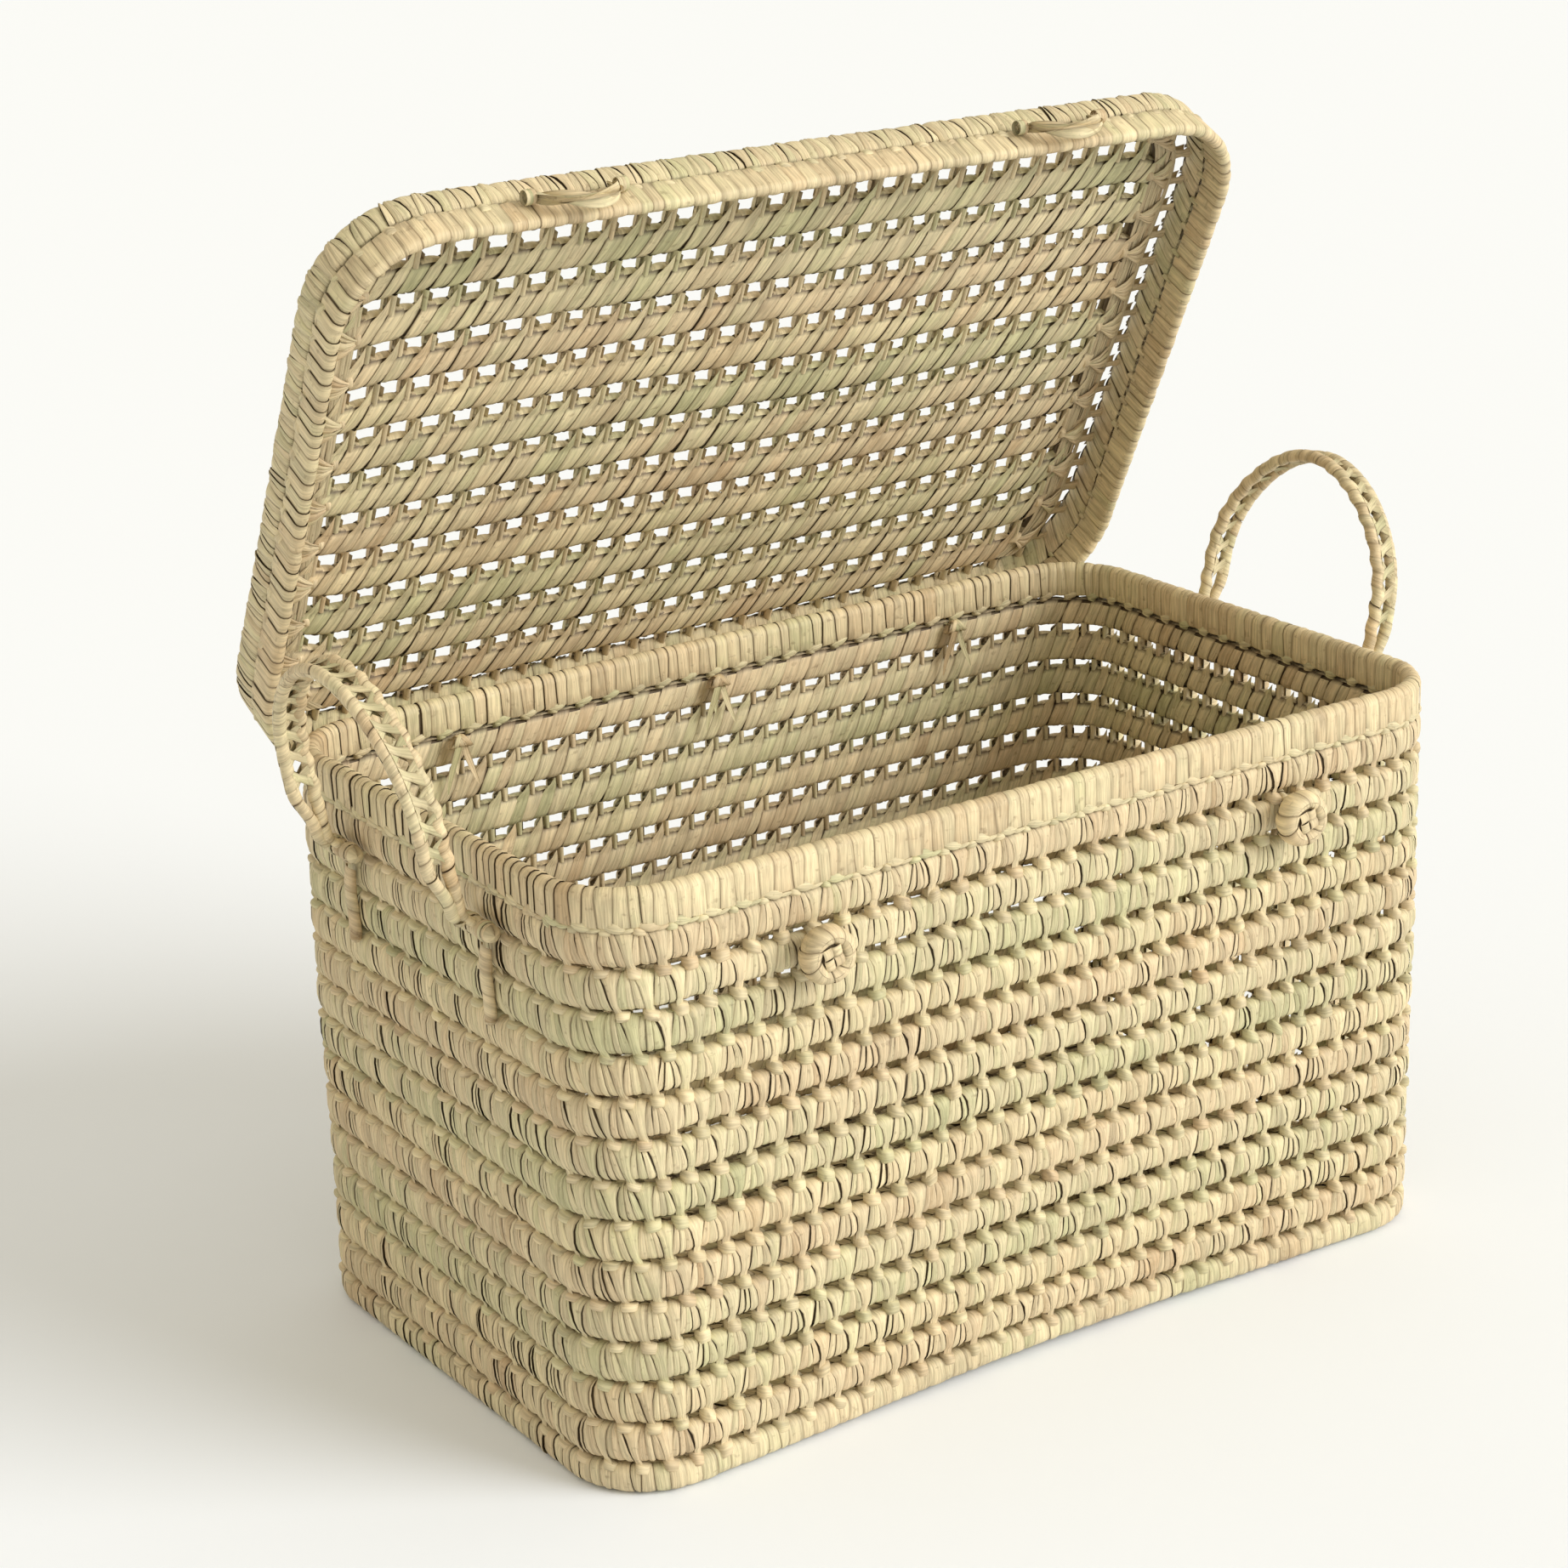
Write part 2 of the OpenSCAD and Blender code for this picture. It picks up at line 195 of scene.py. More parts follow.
class Ring:
    """Round a rounded rectangle, counter-clockwise from the front-left corner."""

    def __init__(self, length, depth, radius, z, warp):
        self.r, self.z, self.warp = radius, z, warp
        runs = [length - 2 * radius, depth - 2 * radius] * 2
        self.half = np.array([runs[0] / 2, runs[1] / 2])
        quarter = math.pi * radius / 2
        self.knots = np.cumsum([0] + [v for run in runs for v in (run, quarter)])
        self.length = self.knots[-1]

    def place(self, s, h, n):
        s, h, n = np.broadcast_arrays(s, h, n)
        s = np.mod(s, self.length)
        part = np.clip(np.searchsorted(self.knots, s, side="right") - 1, 0, 7)
        side = part // 2
        t = s - self.knots[part]
        angle = np.where(part % 2 == 1, t / self.r, 0) + side * np.pi / 2
        # The corner that the side runs to
        cx = self.half[0] * np.choose(side, [1, 1, -1, -1])
        cy = self.half[1] * np.choose(side, [-1, 1, 1, -1])
        run = np.where(part % 2 == 0, t - (self.knots[part + 1] - self.knots[part]), 0)
        c, d = np.cos(angle), np.sin(angle)
        x = cx + c * run + d * (self.r + n)
        y = cy + d * run - c * (self.r + n)
        return self.warp(np.stack([x, y, self.z + h], -1))


class Bar:
    """Along X from x0, across from y0 (sign toward), outwards from a face at z0 (sign up).

    Leaf is cut off at its ends, and at outline(y) from the middle if there is one.
    """

    def __init__(self, x0, length, y0, toward, z0, up, warp, squeeze=None, outline=None):
        self.x0, self.length, self.y0, self.toward = x0, length, y0, toward
        self.z0, self.up, self.warp, self.squeeze, self.outline = z0, up, warp, squeeze, outline

    def place(self, s, h, n):
        s, h, n = np.broadcast_arrays(s, h, n)
        x = self.x0 + np.clip(s, 0, self.length)
        y = self.y0 + self.toward * h
        if self.outline:
            reach = self.outline(y)
            x = np.clip(x, -reach, reach)
        if self.squeeze:
            y = y * self.squeeze(x)
        return self.warp(np.stack([x, y, self.z0 + self.up * n], -1))


class LidEnd:
    """Along the rounded end of the lid's panel: s runs to the back, h is up and n is outwards."""

    MARGIN = 9.0

    def __init__(self, side):
        self.side = side
        self.length = 2 * (PANEL_HALF_DEP - self.MARGIN)

    def place(self, s, h, n):
        s, h, n = np.broadcast_arrays(s, h, n)
        y = np.clip(s, 0, self.length) - PANEL_HALF_DEP + self.MARGIN
        edge = half_width(y, PANEL_HALF_LEN, PANEL_HALF_DEP, PANEL_R)
        return warp_lid(np.stack([self.side * (edge + n), y, PANEL_Z + PANEL_T / 2 + h], -1))


class Face:
    """One face of a lay whose h is thickness: n rises from that face, and h is what n was."""

    def __init__(self, lay, face):
        self.lay, self.face, self.length = lay, face, lay.length

    def place(self, s, h, n):
        return self.lay.place(s, self.face * n, h)


class Strap:
    """A handle: s runs up one leg, round the arch and down. h is outwards and n is away from the arch."""

    def __init__(self, side, lean):
        self.side, self.lean = side, lean
        self.r = HANDLE_SPAN / 2
        self.length = 2 * HANDLE_LEG + math.pi * self.r
        word = "left" if side < 0 else "right"
        self.foot = np.array(JOINTS[f"handle_{word}_swing"]["pos_m"]) / MM

    def place(self, s, h, n):
        s, h, n = np.broadcast_arrays(s, h, n)
        angle = np.clip((s - HANDLE_LEG) / self.r, 0, np.pi)
        v = np.where(angle <= 0, s, np.where(angle >= np.pi, self.length - s, HANDLE_LEG))
        r = self.r + n
        peak = np.sin(angle)
        y = -np.cos(angle) * r * (1 - 0.05 * peak ** 2)
        v = v + peak * r * (1 + 0.02 * peak ** 6)
        c, d = math.cos(self.lean), math.sin(self.lean)
        x = abs(self.foot[0]) + h * c + v * d
        z = self.foot[2] - h * d + v * c
        return np.stack([self.side * x, self.foot[1] + y, z], -1)


class Turned:
    """Round a circle of radius r in the plane of a and b about centre: h is along the axis, n is away."""

    def __init__(self, centre, a, b, radius, sweep=2 * math.pi):
        self.centre, self.a, self.b = (np.array(v, float) for v in (centre, a, b))
        self.axis = np.cross(self.a, self.b)
        self.r = radius
        self.length = sweep * radius

    def place(self, s, h, n):
        s, h, n = (v[..., None] for v in np.broadcast_arrays(s, h, n))
        angle = s / self.r
        out = np.cos(angle) * self.a + np.sin(angle) * self.b
        return self.centre + out * (self.r + n) + self.axis * h


class Line:
    """Straight from start to end: h and n are along two sides."""

    def __init__(self, start, end, h_dir, n_dir):
        self.start, self.end = np.array(start, float), np.array(end, float)
        self.h_dir, self.n_dir = np.array(h_dir, float), np.array(n_dir, float)
        self.length = float(np.linalg.norm(self.end - self.start))

    def place(self, s, h, n):
        s, h, n = (v[..., None] for v in np.broadcast_arrays(s, h, n))
        return self.start + (self.end - self.start) * s / self.length + self.h_dir * h + self.n_dir * n


# ---- Leaf strips ----

class Leaf:
    """Gathers leaf strips as grids of points, and makes one mesh of them."""

    def __init__(self, seed):
        self.rng = np.random.default_rng(seed)
        self.points, self.quads, self.strip, self.tone = [], [], [], []
        self.count = 0

    def add(self, grid, along, tone, shade):
        """grid is (strips, along, across, xyz). tone and shade are per strip, or per strip and step along.
        shade is painted shade, 0 to 1.
        """
        n, rows, cols, _ = grid.shape
        index = self.count + np.arange(n * rows * cols).reshape(n, rows, cols)
        quads = np.stack([index[:, :-1, :-1], index[:, 1:, :-1], index[:, 1:, 1:], index[:, :-1, 1:]], -1)
        full = np.ones((n, rows, cols))
        ident = self.rng.random((n, 1, 1)) * full
        light = self.rng.normal(0, 1, (n, 1, 1)) * full
        across = np.linspace(-1, 1, cols) * full

        def spread(v):
            v = np.asarray(v, float)
            return v.reshape(v.shape + (1,) * (3 - v.ndim)) * full

        self.points.append(grid.reshape(-1, 3))
        self.quads.append(quads.reshape(-1, 4))
        self.strip.append(np.stack([ident, spread(along), across], -1).reshape(-1, 3))
        self.tone.append(np.stack([spread(tone), spread(shade), light], -1).reshape(-1, 3))
        self.count += n * rows * cols

    def build(self, name, body, node):
        """One Blender piece that stands for its CAD node, rides on its body and takes its slot."""
        slot = SLOT[node]
        points = np.concatenate(self.points) * MM
        quads = np.concatenate(self.quads)
        mesh = bpy.data.meshes.new(name)
        mesh.vertices.add(len(points))
        mesh.vertices.foreach_set("co", points.astype(np.float32).ravel())
        mesh.loops.add(quads.size)
        mesh.loops.foreach_set("vertex_index", quads.astype(np.int32).ravel())
        mesh.polygons.add(len(quads))
        mesh.polygons.foreach_set("loop_start", np.arange(0, quads.size, 4, dtype=np.int32))
        mesh.polygons.foreach_set("loop_total", np.full(len(quads), 4, dtype=np.int32))
        mesh.polygons.foreach_set("use_smooth", np.ones(len(quads), dtype=bool))
        mesh.update(calc_edges=True)
        for label, data in (("strip", self.strip), ("tone", self.tone)):
            attribute = mesh.attributes.new(label, "FLOAT_VECTOR", "POINT")
            attribute.data.foreach_set("vector", np.concatenate(data).astype(np.float32).ravel())
        mesh.materials.append(MATERIALS[slot])
        piece = bpy.data.objects.new(name, mesh)
        bpy.context.scene.collection.objects.link(piece)
        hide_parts(node)
        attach(piece, body)


def strips(leaf, lay, left, right, n, h, tone, camber=0.35, tilt=0.0, cols=4, shade=0.0):
    """Leaf strips between a left and a right edge, along a route (n, h) over a coil."""
    left, right, n, h = np.broadcast_arrays(*(np.atleast_2d(v) for v in (left, right, n, h)))
    dn, dh = np.gradient(n, axis=1), np.gradient(h, axis=1)
    size = np.hypot(dn, dh) + 1e-6
    out_n, out_h = (-dh / size)[..., None], (dn / size)[..., None]
    across = np.linspace(-1, 1, cols)
    s = (left + right)[..., None] / 2 + (right - left)[..., None] / 2 * across
    tilt, camber = (np.atleast_2d(v) for v in (tilt, camber))
    if tilt.shape[0] == 1 and tilt.shape[1] == left.shape[0]:
        tilt = tilt.T
    lift = camber[..., None] * (1 - across ** 2) + tilt[..., None] * across
    step = np.hypot(size, np.gradient((left + right) / 2, axis=1))
    along = np.cumsum(step, axis=1)
    grid = lay.place(s, h[..., None] + lift * out_h, n[..., None] + lift * out_n)
    leaf.add(grid, along, tone, shade)


def core(leaf, lay, s, n, h, tone=0.5, shade=0.85):
    """The bundle inside a coil: a closed section (n, h) carried along s. By default it is painted dark:
    painted shade for the cracks where it shows.
    """
    s = np.asarray(s, float)
    n, h = (np.broadcast_to(v, (len(s), np.shape(v)[-1])) for v in (n, h))
    grid = lay.place(s[:, None], h, n)[None]
    leaf.add(grid, (s - s[0])[None], tone, shade)


def wind(leaf, ring, steps, half, rise, shift=lambda turn: 0 * turn):
    """One strip wound once round a ring. rise lifts it across, and shift(turn) moves it along the axis."""
    route = np.linspace(0, ring.length, steps)
    h = crossways(half * np.array([-1, 0, 1])) + lengthways(shift(route / ring.r))
    leaf.add(ring.place(lengthways(route), h, crossways(rise)), route[None], leaf.rng.random(), 0)


def dome(leaf, lay, s, h, n, half_s, half_h, rise, tone, shade=0.0, rows=8, cols=7, tail=0.0):
    """Rounded knots: bumps that stand on (s, h) and rise outwards from n.

    tail draws their later half out and down.
    """
    ones = np.ones((len(s), 1, 1))
    s, h, half_s, half_h, rise = (np.reshape(v, (-1, 1, 1)) * ones for v in (s, h, half_s, half_h, rise))
    u = lengthways(np.sin(np.linspace(-1, 1, rows) * np.pi / 2))
    v = crossways(np.sin(np.linspace(-1, 1, cols) * np.pi / 2))
    bulge = np.sqrt(np.clip(1 - np.abs(u) ** 3, 0, 1)) * np.sqrt(np.clip(1 - np.abs(v) ** 3, 0, 1))
    twist = leaf.rng.normal(0, 0.2, (s.shape[0], 1, 1))
    later = tail * np.clip(u, 0, 1)
    up = h + half_h * (v * (1 - 0.35 * later) - 0.9 * later) + twist * half_h * u
    grid = lay.place(s + half_s * (u + later), up, n + rise * bulge * (1 - 0.25 * later))
    leaf.add(grid, np.linspace(0, 8, rows)[None], tone, shade)


# ---- Coils ----

class Coil:
    """One course: its section, and where its knots sit along the lay."""

    def __init__(self, lay, starts, pitch, height, thick, gap, lean, seed, ripples=(4, 26), drift=0.0,
                 vary=0.10, roundness=0.7, bow=0.5):
        self.lay, self.starts, self.pitch = lay, starts, pitch
        self.height, self.thick, self.gap, self.lean = height, thick, gap, lean
        self.seed, self.ripples, self.drift, self.vary = seed, ripples, drift, vary
        self.roundness, self.bow = roundness, bow

    def at(self, value, s):
        """A value that is the same all along the lay, or a function of s."""
        return value(s) if callable(value) else value + 0 * s

    def section(self, phi, s, inset=0.0):
        """(n, h) round the section at s: phi is 0 on top, 90 degrees outside and 270 inside."""
        sn, cs = np.sin(phi), np.cos(phi)
        a = self.thick / 2 - np.where(sn > 0, 0.5, 1.4) - inset
        b = (self.height - self.at(self.gap, s)) / 2 - 0.2 - inset
        power = np.where(sn > 0, self.at(self.roundness, s), 0.5)
        n = -self.thick / 2 + a * np.sign(sn) * np.abs(sn) ** power
        return np.broadcast_arrays(n, self.height / 2 + b * np.sign(cs) * np.abs(cs) ** 0.75)

    def tone(self, leaf, s, spread=0.09):
        base = 0.5 + self.vary * ripple(self.seed, s / self.lay.length, *self.ripples)
        return tones(leaf.rng, base, spread, np.shape(s))

    def tied(self):
        """The places, half way between the knots above, where this course is tied to the next."""
        mid = self.starts + self.pitch / 2
        if isinstance(self.lay, Ring):
            return mid
        return mid[(mid > 4) & (mid < self.lay.length - 4)]


def coil_core(leaf, c, steps):
    phi = np.linspace(0, 2 * np.pi, 13)
    s = np.linspace(0, c.lay.length, steps)
    n, h = c.section(phi, s[:, None], inset=1.1)
    core(leaf, c.lay, s, n, h)


def gap_shade(phi):
    """Painted shade, 0 to 1, for leaf that lies in a gap: over a coil's top edge and under its bottom edge.

    phi is in degrees, as in Coil.section. Below -40 there is none.
    """
    return 0.85 * (smooth((-4 - phi) / 22) + smooth((phi - 150) / 45)) * (phi > -40)


def outside_wraps(leaf, c, fans=3, hook=True):
    """Fans of strips under the knots, and between them the strips that draw in to tie the next course."""
    rng, count = leaf.rng, len(c.starts)
    s0 = c.starts[:, None]
    gap, drift, bow = (c.at(value, s0) for value in (c.gap, c.drift, c.bow))
    top = np.linspace(-0.17, 0.17, fans + 1) * c.pitch + rng.normal(0, 0.3, (count, fans + 1))
    low = np.linspace(-0.37, 0.37, fans + 1) * c.pitch + rng.normal(0, 0.45, (count, fans + 1))
    phi = np.radians(np.linspace(-28, 200, 10))
    fall = smooth((np.degrees(phi) - 8) / 118)
    n, h = c.section(phi, s0)
    slant = drift * fall + bow * np.sin(phi)
    # Painted shade on the strips' ends that run down into the gaps
    buried = gap_shade(np.degrees(phi))[None]
    for k in range(fans):
        left = s0 + top[:, [k]] * (1 - fall) + low[:, [k]] * fall + slant - 0.15
        right = s0 + top[:, [k + 1]] * (1 - fall) + low[:, [k + 1]] * fall + slant + 0.15
        slit = (rng.random((count, 1)) < 0.4) * rng.uniform(0.3, 1.1, (count, 1)) * np.sin(np.pi * fall)
        raised = (1.4 - 0.6 * abs(k - (fans - 1) / 2)) * (1 - fall) ** 2
        strips(leaf, c.lay, left, right - slit, n + rng.normal(0, 0.2, (count, 1)), h + raised,
               c.tone(leaf, c.starts), camber=rng.uniform(0.25, 0.75, (count, 1)),
               tilt=rng.normal(0, 0.35, (count, 1)), shade=buried)
    # The strip between two fans narrows to the neck that reaches the knot below
    steps = np.radians(np.linspace(-28, 148, 8))
    fall = smooth((np.degrees(steps) - 8) / 118)
    n, h = c.section(steps, s0)
    neck = rng.uniform(2.3, 3.1, (count, 1))
    if hook:
        fall = np.concatenate([fall, [1, 1]])
        n = np.concatenate([n, [[-0.24 * c.thick, -0.26 * c.thick]] * np.ones((count, 1))], 1)
        h = np.concatenate([h, gap * 0.12, gap * -0.3], 1)
    slant = drift * fall + bow * np.sin(np.concatenate([steps, [np.pi] * (len(fall) - len(steps))]))
    following = np.roll(top, -1, axis=0)
    crack = rng.uniform(0.1, 0.85, (count, 1)) * np.clip(np.sin(np.pi * fall), 0, 1) + 0.1
    left = s0 + top[:, [-1]] * (1 - fall) + (c.pitch / 2 - neck) * fall + slant + crack
    right = s0 + (c.pitch + following[:, [0]]) * (1 - fall) + (c.pitch / 2 + neck) * fall
    right = right + slant - 0.7 * crack
    strips(leaf, c.lay, left, right, n + 0.15, h, c.tone(leaf, c.starts),
           camber=rng.uniform(0.5, 1.0, (count, 1)), tilt=rng.normal(0, 0.3, (count, 1)), cols=5)


def stitches(leaf, c):
    """The ties through the gap to the course below, seen from behind, and the knots on that course's edge."""
    rng, mid = leaf.rng, c.tied()
    count = len(mid)
    gap = c.at(c.gap, mid)
    turn = np.linspace(0, 2 * np.pi, 8)
    half = rng.uniform(1.8, 2.4, (count, 1, 1))
    rows = np.stack([gap / 2 + 1.5, gap * 0.15, gap * -0.2, -gap / 2 - 1.5], 1)[:, :, None]
    s = (mid + c.at(c.drift, mid))[:, None, None] + half * np.cos(turn)
    grid = c.lay.place(s, rows, -c.thick * 0.62 + 3.3 * np.sin(turn))
    # The ties lie back in the gap: a little painted shade
    leaf.add(grid, rows[..., 0], c.tone(leaf, mid), 0.06)
    knot = mid + c.at(c.drift, mid) + 0.4 + rng.normal(0, 0.4, count)
    half_h = 0.38 * gap + rng.uniform(1.9, 2.7, count)
    # The knots get a touch of painted shade
    dome(leaf, c.lay, knot, -0.1 * gap - 1.2 + rng.normal(0, 0.3, count), -c.thick * 0.5,
         rng.uniform(3.6, 4.5, count), half_h, c.thick * 0.5 + rng.uniform(0.1, 1.5, count),
         c.tone(leaf, mid), shade=0.04, tail=0.5)


def inside_wraps(leaf, c, tips=True):
    """Broad slanting strips. Every other one ends in a point that crosses the gap to the next course."""
    rng, count = leaf.rng, len(c.starts)
    s0 = c.starts[:, None]
    gap = c.at(c.gap, s0)
    phi = np.radians(np.array([160, 186, 204, 236, 270, 296, 312]))
    n, h = c.section(phi, s0)
    low, high = gap / 2, c.height - gap / 2
    climb = (h - low) / (high - low)
    reach = 0.42 * (high - low)
    top_right = reach + c.pitch / 2
    jitter = rng.normal(0, 0.35, (count, 1))
    origin = s0 - c.lean * (top_right + 2.6) + jitter

    def lay_down(edge_a, edge_b, n, h, camber, tilt, tone, shade=0.0):
        strips(leaf, c.lay, origin + c.lean * edge_a, origin + c.lean * edge_b, n, h, tone,
               camber=camber, tilt=tilt * c.lean, shade=shade)

    right = reach * climb + c.pitch / 2
    left = (top_right - 0.40 * c.pitch) * climb
    notch = (rng.random((count, 1)) < 0.6) * rng.uniform(1.0, 3.2, (count, 1))
    notch = notch * np.clip(1 - climb * 2.2, 0, 1) - 0.7
    n_add = rng.normal(0, 0.2, (count, 1))
    if tips:
        ones = np.ones((count, 1))
        point = c.height + gap * 0.5 + rng.uniform(0.2, 1.6, (count, 1))
        tip_h = np.concatenate([high + 0.4, c.height + 0 * gap, point], 1)
        tip_n = -c.thick * np.array([[0.92, 0.92, 0.88]]) * ones
        tip_w = np.array([[0.38, 0.19, 0.01]]) * c.pitch
        n = np.concatenate([n, tip_n], 1)
        h = np.concatenate([h, tip_h], 1)
        left = np.concatenate([left, top_right - tip_w * ones], 1)
        right = np.concatenate([right - notch, top_right * np.ones((1, 3))], 1)
    else:
        right = right - notch
    lay_down(left - 0.1, right, n + n_add, h, rng.uniform(0.25, 0.6, (count, 1)),
             -rng.uniform(0.1, 0.35, (count, 1)), c.tone(leaf, c.starts))
    over = np.radians(np.array([160, 186, 204, 236, 270, 304, 336, 356, 385]))
    n, h = c.section(over, s0)
    climb = (h - low) / (high - low)
    left = reach * climb - c.pitch / 2
    right = (top_right - 0.40 * c.pitch) * climb
    notch = (rng.random((count, 1)) < 0.5) * rng.uniform(0.6, 2.4, (count, 1))
    notch = notch * np.clip(climb * 2.0 - 1, 0, 1)
    # The over strips get painted shade where they cross the top edge into the gap
    lay_down(left + 0.1 + notch, right + 0.6, n + rng.normal(0, 0.2, (count, 1)), h,
             rng.uniform(0.2, 0.5, (count, 1)), -rng.uniform(0.1, 0.35, (count, 1)),
             c.tone(leaf, c.starts, 0.12), shade=gap_shade(np.degrees(over) - 360)[None])


def build_course(c, node, body, hook=True, tips=True, before=None):
    """One course. before stands for a neighbour in front of the first, whose ties this course carries."""
    leaf = Leaf(c.seed)
    coil_core(leaf, c, max(60, int(c.lay.length / 9)))
    outside_wraps(leaf, c, hook=hook)
    if hook:
        stitches(leaf, c)
    if before:
        stitches(leaf, before)
    inside_wraps(leaf, c, tips=tips)
    leaf.build(f"{node}_weave", body, node)


# ---- Trunk body ----

def body_starts(row):
    """Knot positions of a wall course: each row sits half a period on from the one above, and drifts."""
    lay = Ring(BODY_LEN, BODY_DEP, CORNER_R, 0, warp_body)
    pitch = lay.length / PERIODS
    s = (np.arange(PERIODS) + 0.5 * (row % 2)) * pitch - row * 0.8
    return s + 1.6 * ripple(40, s / lay.length, 3, 9), pitch


def end_wall_weight(s, lay):
    """1 on the left end wall, and falling to 0 a little way round the two corners."""
    x = lay.place(s, 0.0, 0.0)[..., 0]
    return smooth((-x - BODY_LEN / 2 + 62) / 55)


def wall():
    for k in range(1, WALL_COURSES + 1):
        node = f"wall_course_{k:02d}"
        lo, hi = span(node)
        starts, pitch = body_starts(k)
        lay = Ring(BODY_LEN, BODY_DEP, CORNER_R, lo[2], warp_body)
        middle = 7.0 - 1.2 * (k > 10) + 0.5 * math.sin(k * 2.1)

        def gap(s, lay=lay, k=k, middle=middle):
            waver = 0.6 * ripple(70 + k, s / lay.length, 2, 7)
            return (middle + waver) * (1 - 0.62 * end_wall_weight(s, lay))

        def drift(s, lay=lay):
            return 4.0 * end_wall_weight(s, lay)

        def roundness(s, lay=lay):
            return 0.7 + 0.3 * end_wall_weight(s, lay)

        def bow(s, lay=lay):
            return 0.5 - 3.0 * end_wall_weight(s, lay)

        c = Coil(lay, starts, pitch, hi[2] - lo[2], WALL_T, gap, -1, 100 + k, drift=drift,
                 roundness=roundness, bow=bow)
        build_course(c, node, "trunk", tips=k < WALL_COURSES)


def band_route(thick, height):
    """Up the outer face, over the round top and down the inner face, given from the inner end."""
    turn = np.linspace(0, np.pi, 7)[1:-1]
    r = thick / 2
    n = [[-1.5, 0, 0, 0], -r + r * np.cos(turn), [-thick, -thick, -thick, -thick + 1.5]]
    h = [[-0.5, 0.8, height * 0.35, height - r], height - r + r * np.sin(turn),
         [height - r, height * 0.35, 0.8, -0.5]]
    return np.concatenate(n)[::-1], np.concatenate(h)[::-1]


def wrapped_band(leaf, lay, pitch, n, h, widths, pinch, seed, top, lean=0.0):
    """Wraps of uneven width side by side, drawn together towards each stitch at their lower ends."""
    rng = leaf.rng
    edges = [0.0]
    while edges[-1] < lay.length - widths[1]:
        edges.append(edges[-1] + rng.uniform(*widths))
    edges = np.array(edges) * lay.length / (edges[-1] + rng.uniform(*widths))
    left, right = edges[:, None], np.append(edges[1:], lay.length)[:, None]
    drop = np.abs(h - top) / (np.abs(h - top).max())
    pull = pinch * drop ** 2

    def moved(s):
        return s - pull * np.sin(2 * np.pi * s / pitch) + lean * drop * np.sign(n - n.mean())

    count = len(edges)
    tone = tones(rng, 0.55 + 0.2 * ripple(seed, edges / lay.length, 3, 20), 0.08, count)
    crack = rng.uniform(-0.35, 0.3, (count, 1)) * (0.4 + 0.6 * drop)
    strips(leaf, lay, moved(left) + crack, moved(right) - 0.5 * crack, n + rng.normal(0, 0.12, (count, 1)),
           h, tone, camber=rng.uniform(0.2, 0.6, (count, 1)),
           tilt=0.2 + rng.normal(0, 0.22, (count, 1)), cols=5)


def rim():
    node = "rim_band"
    lo, hi = span(node)
    lay = Ring(BODY_LEN, BODY_DEP, CORNER_R, lo[2], warp_body)
    leaf = Leaf(201)
    height = hi[2] - lo[2]
    n, h = band_route(WALL_T - 1.2, height - 0.8)
    n = n - 0.6
    core(leaf, lay, np.linspace(0, lay.length, 200), n * 0.88 - 0.7, h * 0.94 + 0.3)
    pitch = lay.length / PERIODS
    wrapped_band(leaf, lay, pitch, n, h, (6.2, 11.0), 1.5, 202, height, lean=0.5)
    leaf.build("rim_band_wraps", "trunk", node)


def leaf_flaps(leaf, lay, s, length, tall, z, n, rise, tone, lean=0.25):
    """Pointed flaps of leaf lying along the seam."""
    t = lengthways(np.linspace(-1, 1, 7))
    a = crossways(np.linspace(-1, 1, 4))
    width = tall / 2 * np.clip(1 - np.abs(t) ** 2.2, 0.06, 1)
    tilt = leaf.rng.normal(lean, 0.12, (len(s), 1, 1))
    up = z + width * a + tilt * length / 2 * t * 0.35
    out = n + rise * (1 - 0.7 * t ** 2) * (1 - 0.4 * a ** 2)
    leaf.add(lay.place(s[:, None, None] + length / 2 * t, up, out), length / 2 * t[..., 0], tone, 0.0)


def rim_stitching():
    """Pointed leaf ends along the seam under the rim, one to a stitch, with small holes left between them."""
    node = "rim_lashing"
    lo = span(node)[0]
    lay = Ring(BODY_LEN, BODY_DEP, CORNER_R, lo[2], warp_body)
    leaf = Leaf(211)
    starts, pitch = body_starts(WALL_COURSES)
    count = len(starts)
    rng = leaf.rng
    tone = tones(rng, 0.6, 0.12, count)
    leaf_flaps(leaf, lay, starts + 4.0, 14.5, 6.0, 0.2, -2.4, 3.0, tone, lean=-0.5)
    leaf_flaps(leaf, lay, starts + pitch / 2 + 2, 12.0, 3.0, -1.6, -2.6, 2.2, tone, lean=0.35)
    leaf_flaps(leaf, lay, starts, 13.5, 5.0, 0.2, -WALL_T + 2.2, -2.6, tone, lean=-0.4)
    dome(leaf, lay, starts - 1.5, -2.2, -5, rng.uniform(3.0, 4.0, count), rng.uniform(2.6, 3.4, count),
         rng.uniform(4.2, 5.4, count), tone, tail=0.3)
    dome(leaf, lay, starts + 3, -2.0, -WALL_T + 4, 3.2, 2.4, -3.6, tone)
    leaf.build("rim_lashing_strip", "trunk", node)


